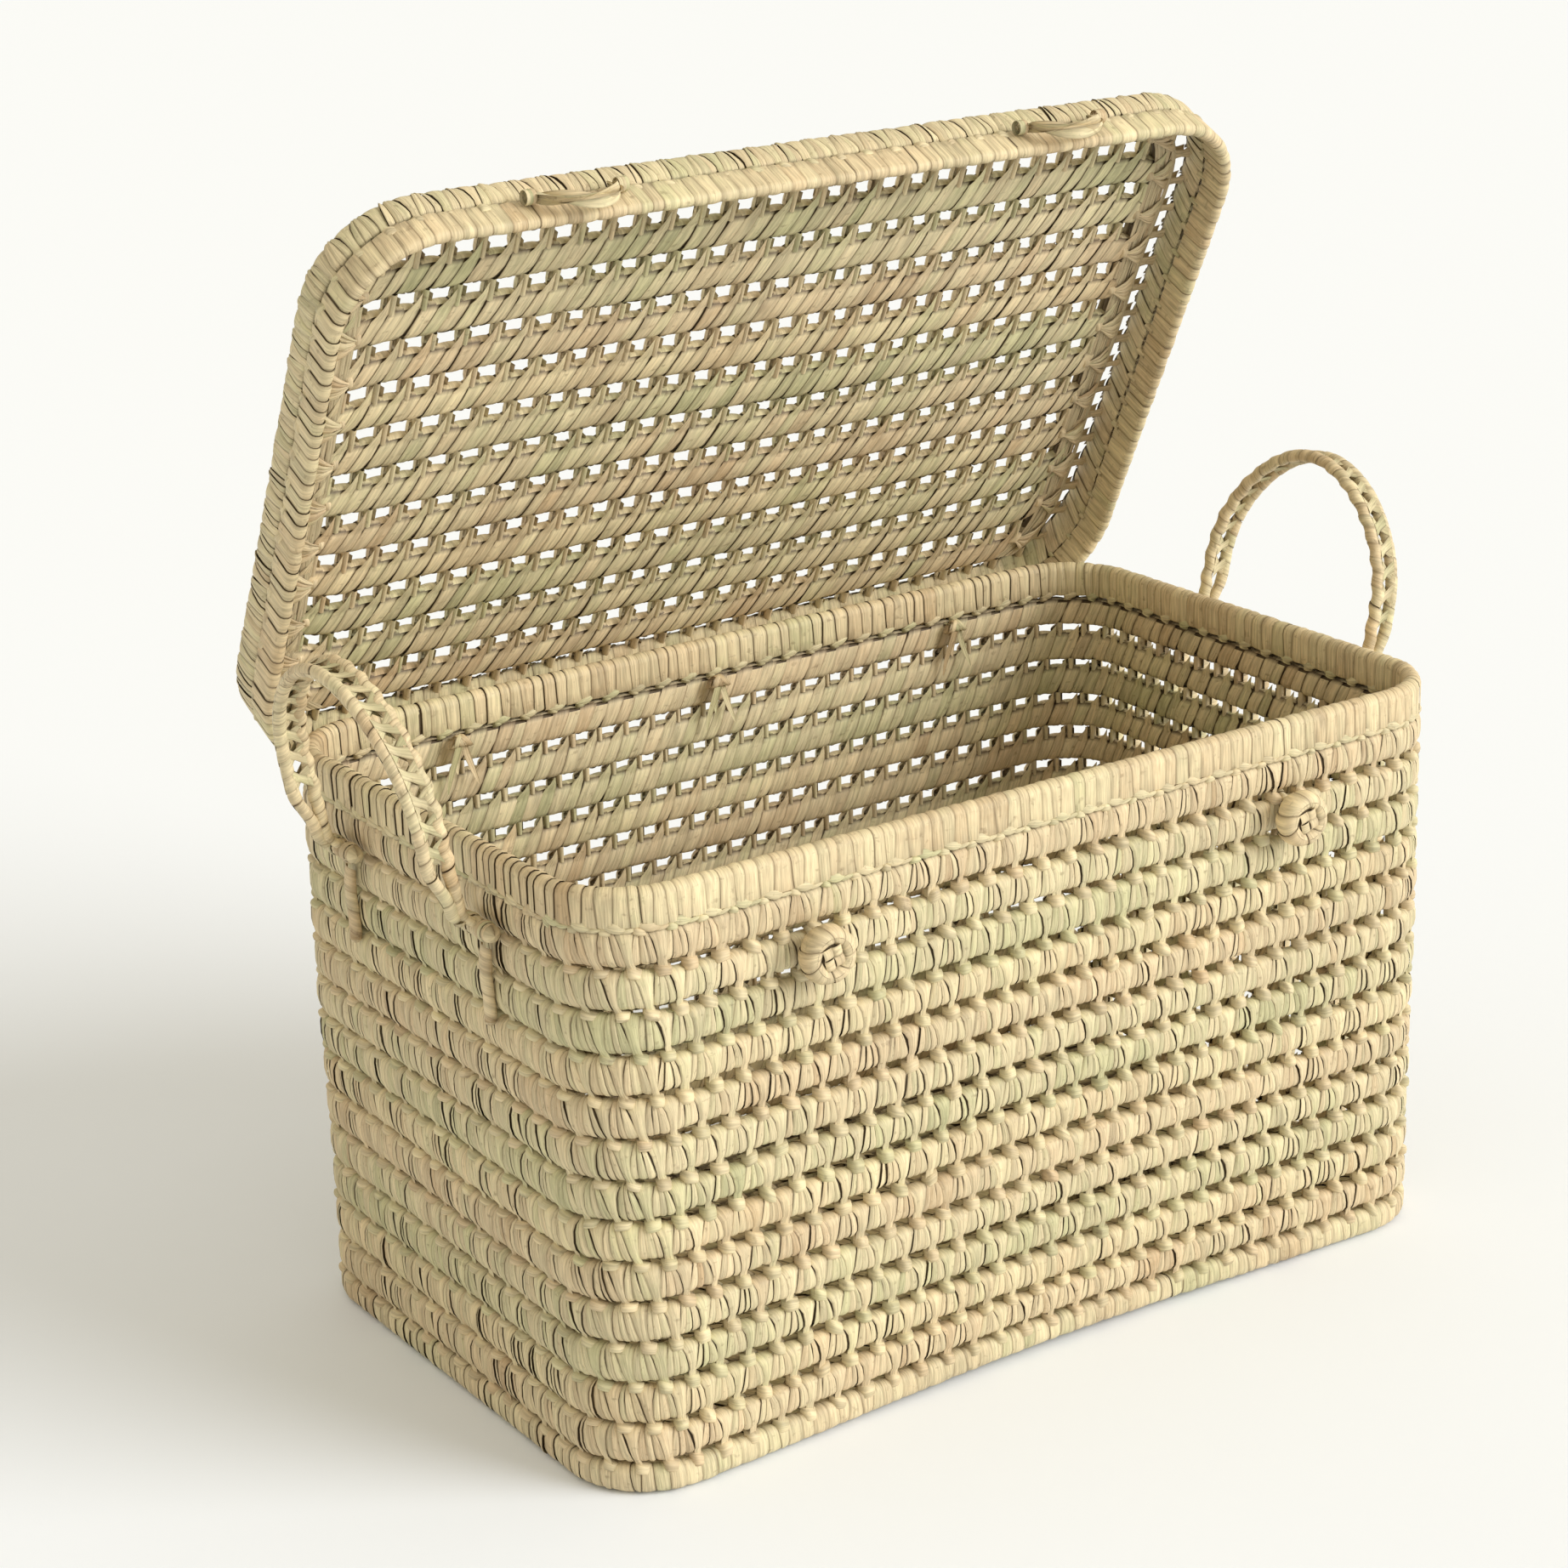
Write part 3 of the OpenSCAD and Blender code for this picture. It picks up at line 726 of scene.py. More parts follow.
def foot_edge():
    node = "base_edge"
    hi = span(node)[1]
    lay = Ring(BODY_LEN, BODY_DEP, CORNER_R, 0, warp_body)
    leaf = Leaf(221)
    turn = np.radians(np.linspace(-25, 205, 10))
    n = -WALL_T / 2 + (WALL_T / 2 - 0.6) * np.sign(np.sin(turn)) * np.abs(np.sin(turn)) ** 0.8
    h = hi[2] / 2 + (hi[2] / 2 - 0.9) * np.sign(np.cos(turn)) * np.abs(np.cos(turn)) ** 0.7
    ring = np.linspace(0, 2 * np.pi, 12)
    core(leaf, lay, np.linspace(0, lay.length, 200), -WALL_T / 2 + (WALL_T / 2 - 1.4) * np.sin(ring),
         hi[2] / 2 + (hi[2] / 2 - 1.6) * np.cos(ring))
    pitch = lay.length / PERIODS
    wrapped_band(leaf, lay, pitch, n, h, (6.5, 11), 1.8, 222, hi[2], lean=1.5)
    inner = np.radians(np.linspace(180, 350, 7))
    n = -WALL_T / 2 + (WALL_T / 2 - 0.6) * np.sin(inner)
    h = hi[2] / 2 + (hi[2] / 2 - 0.9) * np.cos(inner)
    wrapped_band(leaf, lay, pitch, n, h, (8, 11), 0.8, 223, hi[2], lean=3)
    leaf.build("base_edge_wraps", "trunk", node)


def base():
    node = "base_mat"
    lo, hi = span(node)
    leaf = Leaf(231)
    bars = 13
    w = (hi[1] - lo[1]) / bars
    reach, r = hi[0] + 3, CORNER_R - WALL_T + 3
    pitch = 20.2

    def outline(y):
        return half_width(y, reach, hi[1] + 3, r)

    for k in range(bars):
        lay = Bar(-reach, 2 * reach, hi[1] - k * w, -1, 1.2, -1, warp_body, outline=outline)
        count = int(2 * reach / pitch)
        starts = (np.arange(-2, count + 3) + 0.5 * (k % 2)) * pitch
        c = Coil(lay, starts, pitch, w, hi[2] - 1.2, 2.8, 1, 240 + k, (2, 9))
        coil_core(leaf, c, 50)
        outside_wraps(leaf, c, hook=k < bars - 1)
        inside_wraps(leaf, c, tips=k > 0)
    leaf.build("base_mat_weave", "trunk", node)


# ---- Lid ----

def lid_squeeze(x):
    """The panel's courses draw together at its rounded ends."""
    return half_width(x, PANEL_HALF_DEP, PANEL_HALF_LEN, PANEL_R) / PANEL_HALF_DEP


def lid_panel():
    reach = PANEL_HALF_LEN - BINDING_W + 3
    depth = 2 * PANEL_HALF_DEP
    w = depth / LID_COURSES
    pitch = 2 * reach / LID_KNOTS

    def course(k):
        lay = Bar(-reach, 2 * reach, -depth / 2 + k * w, -1, LID_TOP, 1, warp_lid, lid_squeeze)
        starts = (np.arange(-2, LID_KNOTS + 3) + 0.5 * (k % 2)) * pitch
        starts = starts + 1.2 * ripple(60, starts / lay.length, 1, 4)
        middle = 11.0 + 1.1 * math.sin(k * 1.7)

        def gap(s):
            return middle + 1.2 * ripple(90 + k, s / lay.length, 1, 5)

        return Coil(lay, starts, pitch, w, PANEL_T, gap, 1, 300 + k, (1, 7), vary=0.14)

    for k in range(1, LID_COURSES + 1):
        build_course(course(k), f"lid_course_{k:02d}", "lid", before=course(0) if k == 1 else None)


def end_fans(leaf, lay, knots, pitch, face):
    """Strips that spread from a knot among the courses' ends, over the bar and round its outer edge."""
    rng, count = leaf.rng, len(knots)
    n = np.array([-31, -27.5, -22, -17.5, -13.8, -12.0, -11.2])
    h = face * np.array([3.0, 5.6, 6.8, 5.5, 3.9, 2.4, -0.4])
    spread = 0.13 + 0.87 * smooth((n + 31) / 17)
    edges = np.linspace(-0.37, 0.37, 6) * pitch + rng.normal(0, 0.9, (count, 6))
    for j in range(5):
        left = knots[:, None] + edges[:, [j]] * spread
        right = knots[:, None] + edges[:, [j + 1]] * spread + 0.5
        tone = tones(rng, 0.5, 0.14, count)
        strips(leaf, lay, left, right, n + rng.normal(0, 0.5, (count, 1)),
               h + face * rng.uniform(0, 0.8, (count, 1)), tone,
               camber=face * rng.uniform(0.4, 0.9, (count, 1)), tilt=rng.normal(0, 0.4, (count, 1)), cols=5)


def bar_strands(leaf, lay, face):
    """Strips laid lengthways on one face of the bar."""
    s = lengthways(np.linspace(0, lay.length, 60))
    across = crossways(np.linspace(-1, 1, 4))
    for j in range(6):
        n = -27.0 + 2.8 * j + 1.9 * across + 0.6 * np.sin(s / 17 + 2.1 * j)
        h = face * (3.9 + 0.35 * (j % 2) + 0.4 * (1 - across ** 2))
        # A little painted shade on the strands
        leaf.add(lay.place(s, h, n), s[..., 0], tones(leaf.rng, 0.5, 0.12), 0.1)


def lid_bindings():
    """A bar across the courses' ends under fans of leaf, and stitches out from it to the side."""
    for side, word in ((-1, "left"), (1, "right")):
        node = f"lid_binding_{word}"
        leaf = Leaf(330 + side)
        rng = leaf.rng
        lay = LidEnd(side)
        ring = np.linspace(0, 2 * np.pi, 12)
        core(leaf, lay, np.linspace(0, lay.length, 60), -19.5 + 7.6 * np.sin(ring), 3.4 * np.cos(ring))
        pitch = lay.length / LID_FANS
        knots = (np.arange(LID_FANS) + 0.5) * pitch
        ties = (np.arange(END_TIES) + 0.5) * lay.length / END_TIES
        across = np.linspace(-1, 1, 4)
        stitch = lengthways([-14.0, -9.0, -5.0, 1.2])
        flare = lengthways([1.6, 1.05, 0.9, 1.3])
        for face in (-1, 1):
            bar_strands(leaf, lay, face)
            end_fans(leaf, lay, knots, pitch, face)
            dome(leaf, Face(lay, face), knots, -30.0, 1.5, rng.uniform(3.2, 4.2, LID_FANS),
                 rng.uniform(2.6, 3.4, LID_FANS), rng.uniform(4.4, 5.4, LID_FANS), 0.55)
            wide = rng.uniform(2.3, 3.4, (END_TIES, 1, 1)) * crossways(across) * flare
            lift = crossways(face * (2.6 + 0.8 * np.cos(across * np.pi / 2)))
            # A little painted shade on the stitches
            leaf.add(lay.place(ties[:, None, None] + wide, lift, stitch), stitch[..., 0], 0.55, 0.08)
        leaf.build(f"{node}_fans", "lid", node)


def lid_side():
    """The course turned down from the panel. Its gap narrows towards the hinge."""
    lay = Ring(LID_LEN, LID_DEP, LID_R, LID_Z + LID_RIM_H, warp_lid)
    plan = Ring(LID_LEN, LID_DEP, LID_R, 0, lambda point: point)
    pitch = lay.length / LID_PERIODS

    def gap(s):
        return 5.0 - 3.6 * smooth(plan.place(s, 0.0, 0.0)[..., 1] / 180 - 0.02)

    height = LID_TOP - LID_Z - LID_RIM_H
    c = Coil(lay, np.arange(LID_PERIODS) * pitch, pitch, height, LID_SIDE_T, gap, -1, 351)
    build_course(c, "lid_side_course", "lid", tips=False)


def lid_rim():
    node = "lid_rim_band"
    lay = Ring(LID_LEN, LID_DEP, LID_R, LID_Z, warp_lid)
    leaf = Leaf(361)
    n, h = band_route(LID_RIM_T - 0.6, LID_RIM_H)
    n = n - 0.3
    h = LID_RIM_H - h
    n, h = n[::-1], h[::-1]
    middle = LID_RIM_H / 2
    core(leaf, lay, np.linspace(0, lay.length, 200), n * 0.86 - 0.5, (h - middle) * 0.9 + middle)
    wrapped_band(leaf, lay, lay.length / LID_PERIODS, n, h, (7.0, 12.5), 1.1, 362, 0, lean=0.4)
    leaf.build("lid_rim_band_wraps", "lid", node)


# ---- Hinge ties ----

def hinge_tie(x, node, seed):
    """A leaf loop round the lid's rim, a strap through the wall, and a knot with its tails inside."""
    leaf = Leaf(seed)
    rng = leaf.rng
    y, z = HINGE[1], HINGE[2]
    for k in range(3):
        ring = Turned([x - 2.6 + 2.4 * k, y, z], [0, -1, 0], [0, 0, 1], 5.3)
        wind(leaf, ring, 16, 1.3, np.array([0, 0.4, 0]) + 0.1 * k)
    wall_in = BODY_DEP / 2 - WALL_T
    t = np.linspace(0, 1, 6)
    for k in range(2):
        xx = x - 2 + 4 * k + crossways([-2, 0, 2])
        yy = lengthways(y - 4 + (wall_in - 3 - y + 4) * t)
        zz = z + 1.5 - 3 * k + crossways([0, 0.5, 0])
        leaf.add(np.stack(np.broadcast_arrays(xx, yy, zz), -1), (20 * t)[None], rng.random(), 0)
    knot_y = wall_in - 5.2
    for k in range(4):
        ring = Turned([x + (k - 1.5) * 2.6, knot_y, z + 1], [0, 1, 0], [0, 0, 1], 3.6)
        wind(leaf, ring, 14, 2.0, np.array([0, 0.6, 0]) + 0.3 * (k % 2),
             lambda turn, k=k: 3.0 * np.sin(turn + k))
    t = lengthways(np.linspace(0, 1, 10))
    a = crossways([-1, 0, 1])
    for side, length in ((-1, 30), (1, 26), (-0.3, 18)):
        xx = x + side * (3 + 7 * t) + 2.4 * a * (1 - 0.8 * t ** 3)
        yy = knot_y - 1.5 + 2.2 * np.sin(t * 3 + side) + 0.5 * (1 - a * a)
        zz = z - 2 - length * t
        leaf.add(np.stack(np.broadcast_arrays(xx, yy, zz), -1), length * t[..., 0], rng.random(), 0)
    leaf.build(f"{node}_knot", "trunk", node)


# ---- Handles ----

def cord(leaf, lay, s0, s1, centre, radius, pitch, seed, steps=12):
    """A cord wound with leaf: centre(s) is its (n, h), and each turn is one strip."""
    rng = leaf.rng
    turn = np.linspace(0, 2 * np.pi, steps + 1)
    starts = np.arange(s0, s1 - pitch * 0.6, pitch)
    starts = starts + rng.normal(0, 0.1 * pitch, len(starts))
    rows = starts[:, None] + 0.8 * pitch * turn / (2 * np.pi)
    left, right = rows - 0.1 * pitch, rows + 1.06 * pitch
    across = np.linspace(-1, 1, 5)
    s = (left + right)[..., None] / 2 + (right - left)[..., None] / 2 * across
    s = np.clip(s, s0, s1)
    n0, h0 = centre(s)
    r = radius - 0.25 + 0.2 * (1 - across ** 2) + 0.22 * across + rng.normal(0, 0.08, (len(starts), 1, 1))
    grid = lay.place(s, h0 + r * np.cos(turn)[None, :, None], n0 + r * np.sin(turn)[None, :, None])
    tone = tones(rng, 0.6 + 0.15 * ripple(seed, starts / lay.length, 1, 5), 0.08, len(starts))
    leaf.add(grid, turn[None] * radius, tone, 0.0)
    # Close the cord's two ends, with a little painted shade on the caps
    for end, way in ((s0, -1), (s1, 1)):
        cap = lengthways(np.linspace(0, 1, 4)) * np.pi / 2
        around = crossways(turn)
        n0, h0 = centre(np.full((1, 4, steps + 1), float(end)))
        wide = radius * 0.95 * np.sin(cap)
        grid = lay.place(end + way * radius * 0.8 * np.cos(cap), h0 + wide * np.cos(around),
                         n0 + wide * np.sin(around))
        leaf.add(grid, np.linspace(0, 4, 4)[None], 0.5, 0.1)


def straight(s):
    return 0 * s, 0 * s


def leg_height(lay, s):
    """Distance from the nearer foot."""
    return np.minimum(s, lay.length - s)


def zigzag(leaf, lay, inner, outer, pitch):
    """Strips that cross between two cords, back and forth, and leave diamonds open between them."""
    rng = leaf.rng
    count = int((lay.length - 76) / pitch)
    first = (lay.length - count * pitch) / 2
    points = (first + (np.arange(count) + 0.5) * pitch)[:, None, None]
    t = lengthways(np.linspace(0, 1, 9))
    a = crossways(np.linspace(-1, 1, 4))
    for way in (-1, 1):
        for face in (-1, 1):
            centre = points + way * pitch * (t - 0.5) * 0.52
            h_in, h_out = inner(centre)[1] + 1.0, outer(centre)[1] - 1.0
            n = face * (1.4 + 2.0 * np.abs(2 * t - 1) ** 1.5) + 0.45 * way * (1 - np.abs(2 * t - 1))
            half = 2.9 + 1.0 * np.abs(2 * t - 1) + rng.uniform(-0.3, 0.3, (count, 1, 1))
            h = h_in + (h_out - h_in) * t
            grid = lay.place(centre + half * a, h, n + 0.35 * (1 - a * a) * face)
            # A touch of painted shade on the lashing strips
            leaf.add(grid, 14 * t[..., 0], tones(rng, 0.55, 0.12, count), 0.04)


def handle(side, word, lean):
    body = f"handle_{word}"
    lay = Strap(side, lean)

    def inner(s):
        low = 1 - smooth(leg_height(lay, s) / 12)
        wave = 0.9 * np.cos(2 * np.pi * (s - lay.length / 2) / LASH_PITCH)
        drawn = wave * smooth((leg_height(lay, s) - 30) / 12)
        return 0.5 * np.sin(s / 23), INNER_U * (1 - low) + 0.6 * np.sin(s / 31) + drawn

    def outer(s):
        low = 1 - smooth((leg_height(lay, s) - 16) / 30)
        foot = 1 - smooth(leg_height(lay, s) / 14)
        out = OUTER_U - (OUTER_U - INNER_U - 4.5) * low - INNER_U * foot
        return 0.5 * np.sin(s / 27 + 1), out + 0.6 * np.sin(s / 37 + 2)

    leaf = Leaf(400 + side)
    cord(leaf, lay, 1.0, lay.length - 1.0, inner, CORD_R, 9.4, 410 + side)
    for end in (-HANDLE_SPAN / 2, HANDLE_SPAN / 2):
        # The cross-piece that turns in the keepers, and the round of leaf over it
        foot = lay.foot + np.array([0, end, 0])
        axle = Line(foot + [0, -12, 0], foot + [0, 12, 0], [0, 0, 1], [side, 0, 0])
        cord(leaf, axle, 0, 24, straight, CORD_R - 0.3, 6, 420)
        for middle, half in ((-12.5, 1.2), (0, 4.0), (12.5, 1.2)):
            ball = Line(foot + [0, middle - half, 0], foot + [0, middle + half, 0], [0, 0, 1], [side, 0, 0])
            cord(leaf, ball, 0, 2 * half, straight, 5.5, min(4.2, half), 421)
    node = f"{body}_inner_cord"
    leaf.build(f"{node}_wound", body, node)

    leaf = Leaf(430 + side)
    cord(leaf, lay, 8.0, lay.length - 8.0, outer, CORD_R, 9.8, 440 + side)
    node = f"{body}_outer_cord"
    leaf.build(f"{node}_wound", body, node)

    leaf = Leaf(450 + side)
    zigzag(leaf, lay, inner, outer, LASH_PITCH)
    node = f"{body}_lashing"
    leaf.build(f"{node}_strips", body, node)

    leaf = Leaf(460 + side)
    for y in (-HANDLE_SPAN / 2, HANDLE_SPAN / 2):
        for off in (-8, 8):
            ring = Turned(lay.foot + np.array([0, y + off, 0]), [-side, 0, 0], [0, 0, 1], 5.4)
            for k in range(2):
                wind(leaf, ring, 15, 1.5, [0.2, 0.7, 0.2], lambda turn, k=k: (k - 0.5) * 2.4 + 0 * turn)
    node = f"{body}_keepers"
    leaf.build(f"{node}_wraps", "trunk", node)

    leaf = Leaf(470 + side)
    lo, hi = span(f"{body}_tails")
    for y in (-HANDLE_SPAN / 2, HANDLE_SPAN / 2):
        x = side * (BODY_LEN / 2 + 3.6)
        tail = Line([x, y, hi[2]], [x, y + 2, lo[2]], [0, 1, 0], [side, 0, 0])
        cord(leaf, tail, 0, tail.length, lambda s: (0.8 * np.sin(s / 9), 0.8 * np.sin(s / 13)),
             CORD_R - 0.4, 13, 480)
    node = f"{body}_tails"
    leaf.build(f"{node}_stitch", "trunk", node)


# ---- Buttons ----

def button(x, word):
    body = f"button_{word}"
    pivot = np.array(JOINTS[f"{body}_tilt"]["pos_m"]) / MM
    lo, hi = span(f"{body}_knob")
    centre = (lo + hi) / 2
    shank_dir = (centre - pivot) / np.linalg.norm(centre - pivot)
    side = np.array([1.0, 0, 0])
    up = np.cross(side, shank_dir)

    leaf = Leaf(500 + int(x))
    line = Line(pivot - shank_dir * 14, centre - shank_dir * 3, side, up)
    cord(leaf, line, 0, line.length, straight, 2.5, 6, 510)
    bead = Line(pivot - shank_dir * 18.5, pivot - shank_dir * 9.5, side, up)
    cord(leaf, bead, 0, 9, straight, 4.8, 4, 511)
    leaf.build(f"{body}_shank_wound", body, f"{body}_shank")

    # A thick ring of broad wraps, round a woven middle
    leaf = Leaf(520 + int(x))
    rng = leaf.rng
    ring = Turned(centre, [1, 0, 0], [0, 0, 1], 11.5)
    turn = np.linspace(0, 2 * np.pi, 21)
    edges = np.cumsum([0, 9.5, 7.0, 11.0, 8.0, 12.5, 9.0, 7.5])
    edges = edges / edges[-1] * ring.length
    n = 4.9 * np.sign(np.sin(turn)) * np.abs(np.sin(turn)) ** 0.9
    h = 7.2 * np.sign(np.cos(turn)) * np.abs(np.cos(turn)) ** 0.9
    left = edges[:-1, None] + 2.2 * np.sin(turn) - 0.3
    right = edges[1:, None] + 2.2 * np.sin(turn) + 0.3
    tone = tones(rng, 0.6, 0.06, len(edges) - 1)
    strips(leaf, ring, left, right, n, h, tone, camber=0.5, tilt=-0.35, cols=8)
    woven_middle(leaf, centre, 6.3, math.radians(14))
    # Two discs in the ring's hole, behind the woven middle, painted dark: painted shade
    disc = Turned(centre, [1, 0, 0], [0, 0, 1], 6.0)
    s = np.linspace(0, disc.length, 24)
    for depth in (-3.0, 4.5):
        grid = disc.place(lengthways(s), depth, crossways([-5.9, 1.5]))
        leaf.add(grid, s[None], 0.4, 0.9)
    leaf.build(f"{body}_knob_wound", body, f"{body}_knob")


# ---- Closing loops ----

def strand_twist(leaf, lay, strands, radius, offset, pitch, flat=0.55):
    """Leaf strips twisted about each other along a lay."""
    rng = leaf.rng
    steps = max(24, int(lay.length / 1.6))
    s = np.linspace(0, lay.length, steps)
    turn = np.linspace(0, 2 * np.pi, 8)
    for k in range(strands):
        angle = 2 * np.pi * (s / pitch + k / strands)
        n0, h0 = offset * np.sin(angle), offset * np.cos(angle)
        wide, thin = radius * np.cos(turn), radius * flat * np.sin(turn)
        c, d = np.cos(angle + 0.6)[:, None], np.sin(angle + 0.6)[:, None]
        n = n0[:, None] + wide * c - thin * d
        h = h0[:, None] + wide * d + thin * c
        grid = lay.place(s[:, None], h, n)[None]
        leaf.add(grid, s[None], tones(rng, 0.5, 0.2), 0)


def woven_middle(leaf, centre, size, askew):
    """Two strips over and under two others: four squares that stand a little proud, set askew."""
    axis_a = np.array([math.cos(askew), 0, math.sin(askew)])
    axis_b = np.array([-math.sin(askew), 0, math.cos(askew)])
    u, v = np.meshgrid(np.linspace(-1, 1, 7), np.linspace(-1, 1, 7), indexing="ij")
    for i in (-1, 1):
        for j in (-1, 1):
            run, cross = (u, v) if i == j else (v, u)
            rise = 6.0 + 1.3 * (1 - np.abs(run) ** 3) + 0.2 * (1 - cross ** 2)
            a = (i * 0.5 * size + size * 0.49 * u)[..., None]
            b = (j * 0.5 * size + size * 0.49 * v)[..., None]
            point = centre + a * axis_a + b * axis_b - rise[..., None] * np.array([0, 1, 0])
            if i != j:
                point = point.transpose(1, 0, 2)
            leaf.add(point[None], np.linspace(0, 6, 7)[None], 0.6 + 0.06 * leaf.rng.normal(), 0)


def loop_frame(x):
    """The loop's hinge line at rest, and the direction it hangs in."""
    word = "left" if x < 0 else "right"
    pos = np.array(JOINTS[f"loop_{word}_swing"]["pos_m"]) / MM
    down = open_dir([0, math.sin(-LOOP_LIFT), -math.cos(LOOP_LIFT)])
    return word, pos, down


def open_dir(d):
    c, s = math.cos(LID_OPEN), math.sin(LID_OPEN)
    return np.array([d[0], d[1] * c + d[2] * s, -d[1] * s + d[2] * c])


def ribbon(leaf, lay, centre, wide, twist, tone, steps=48):
    """A leaf folded flat along a lay: centre(u) is its (n, h), and it turns over as twist(u) goes round."""
    u = np.linspace(0, 1, steps)
    n0, h0 = centre(u)
    a = np.linspace(-1, 1, 6)
    angle = twist(u)[:, None]
    half = (wide * (0.55 + 0.45 * np.sin(np.pi * u) ** 0.5))[:, None]
    curl = 0.22 * half * (1 - a ** 2)
    n = n0[:, None] + half * a * np.cos(angle) - curl * np.sin(angle)
    h = h0[:, None] + half * a * np.sin(angle) + curl * np.cos(angle)
    s = (u * lay.length)[:, None] + 0 * n
    leaf.add(lay.place(s, h, n)[None], (u * lay.length)[None], tone, 0)


def closing_loop(x):
    word, pos, down = loop_frame(x)
    leaf = Leaf(600 + int(x))
    lay = Turned(pos, [-1, 0, 0], down, LOOP_R, sweep=math.pi)
    for k in range(3):
        phase = 2.1 * k + 0.4 * (x > 0)
        ribbon(leaf, lay, lambda u, p=phase: (1.5 * np.sin(5 * u + p), 1.5 * np.cos(6 * u + p)),
               4.9 - 0.5 * k, lambda u, p=phase, k=k: p + (2.6 + 0.7 * k) * u, 0.55 + 0.12 * (k - 1))
    for side in (-1, 1):
        start, end = (pos + [side * (LOOP_R + reach), 0, 0] for reach in (-2, 8.5))
        line = Line(start, end, [0, 1, 0], [0, 0, 1])
        strand_twist(leaf, line, 2, 1.8, 0.7, 20)
    leaf.build(f"loop_{word}_twist", f"loop_{word}", f"loop_{word}")

    leaf = Leaf(620 + int(x))
    across, back = open_dir([0, -1, 0]), open_dir([0, 0, 1])
    for side in (-1, 1):
        for k in range(3):
            ring = Turned(pos + [side * (LOOP_R + 6.0 + 2.0 * (k - 1)), 0, 0], across, back, 4.2)
            wind(leaf, ring, 13, 1.3, [0, 0.5, 0])
    leaf.build(f"loop_eyes_{word}_wraps", "lid", f"loop_eyes_{word}")


# ---- Materials ----

def linear(rgb):
    """Display colour to scene colour."""
    return [c / 12.92 if c <= 0.04045 else ((c + 0.055) / 1.055) ** 2.4 for c in rgb] + [1.0]


PALETTE = [  # from green leaf through straw to pinkish leaf
    (0.00, (0.730, 0.715, 0.550)),
    (0.25, (0.798, 0.772, 0.605)),
    (0.50, (0.855, 0.800, 0.650)),
    (0.75, (0.840, 0.765, 0.620)),
    (1.00, (0.775, 0.680, 0.530)),
]
# Painted shade: the dark brown that the shade attribute mixes towards, on coil cores and in gaps, cracks and
# recesses
PAINTED_SHADE_COLOUR = (0.22, 0.14, 0.055)
# Real stains, and also painted shade along the strips' edges
STAIN_AND_EDGE_SHADE_COLOUR = (0.34, 0.235, 0.11)


class Nodes:
    """Short calls for a material's nodes."""

    def __init__(self, material):
        material.use_nodes = True
        self.tree = material.node_tree
        self.tree.nodes.clear()

    def new(self, kind, **settings):
        node = self.tree.nodes.new(kind)
        for key, value in settings.items():
            setattr(node, key, value)
        return node

    def link(self, source, target):
        self.tree.links.new(source, target)

    def math(self, operation, a, b=None):
        node = self.new("ShaderNodeMath", operation=operation)
        for k, value in enumerate([a, b]):
            if value is None:
                continue
            if isinstance(value, (int, float)):
                node.inputs[k].default_value = value
            else:
                self.link(value, node.inputs[k])
        return node.outputs[0]

    def times(self, a, b):
        return self.math("MULTIPLY", a, b)

    def attribute(self, name):
        node = self.new("ShaderNodeAttribute", attribute_name=name)
        parts = self.new("ShaderNodeSeparateXYZ")
        self.link(node.outputs["Vector"], parts.inputs[0])
        return parts.outputs

    def vector(self, x, y, z):
        node = self.new("ShaderNodeCombineXYZ")
        for k, value in enumerate([x, y, z]):
            self.link(value, node.inputs[k])
        return node.outputs[0]

    def noise(self, vector, scale, detail=2.0):
        node = self.new("ShaderNodeTexNoise")
        node.inputs["Scale"].default_value = scale
        node.inputs["Detail"].default_value = detail
        self.link(vector, node.inputs["Vector"])
        return node.outputs["Fac"]

    def remap(self, value, a, b, c, d):
        node = self.new("ShaderNodeMapRange")
        self.link(value, node.inputs["Value"])
        for key, number in zip(("From Min", "From Max", "To Min", "To Max"), (a, b, c, d)):
            node.inputs[key].default_value = number
        return node.outputs["Result"]

    def mix(self, factor, a, b, blend="MIX"):
        node = self.new("ShaderNodeMix", data_type="RGBA", blend_type=blend)
        if isinstance(factor, (int, float)):
            node.inputs["Factor"].default_value = factor
        else:
            self.link(factor, node.inputs["Factor"])
        for key, value in (("A", a), ("B", b)):
            socket = [s for s in node.inputs if s.name == key and s.type == "RGBA"][0]
            if isinstance(value, list):
                socket.default_value = value
            else:
                self.link(value, socket)
        return [s for s in node.outputs if s.type == "RGBA"][0]


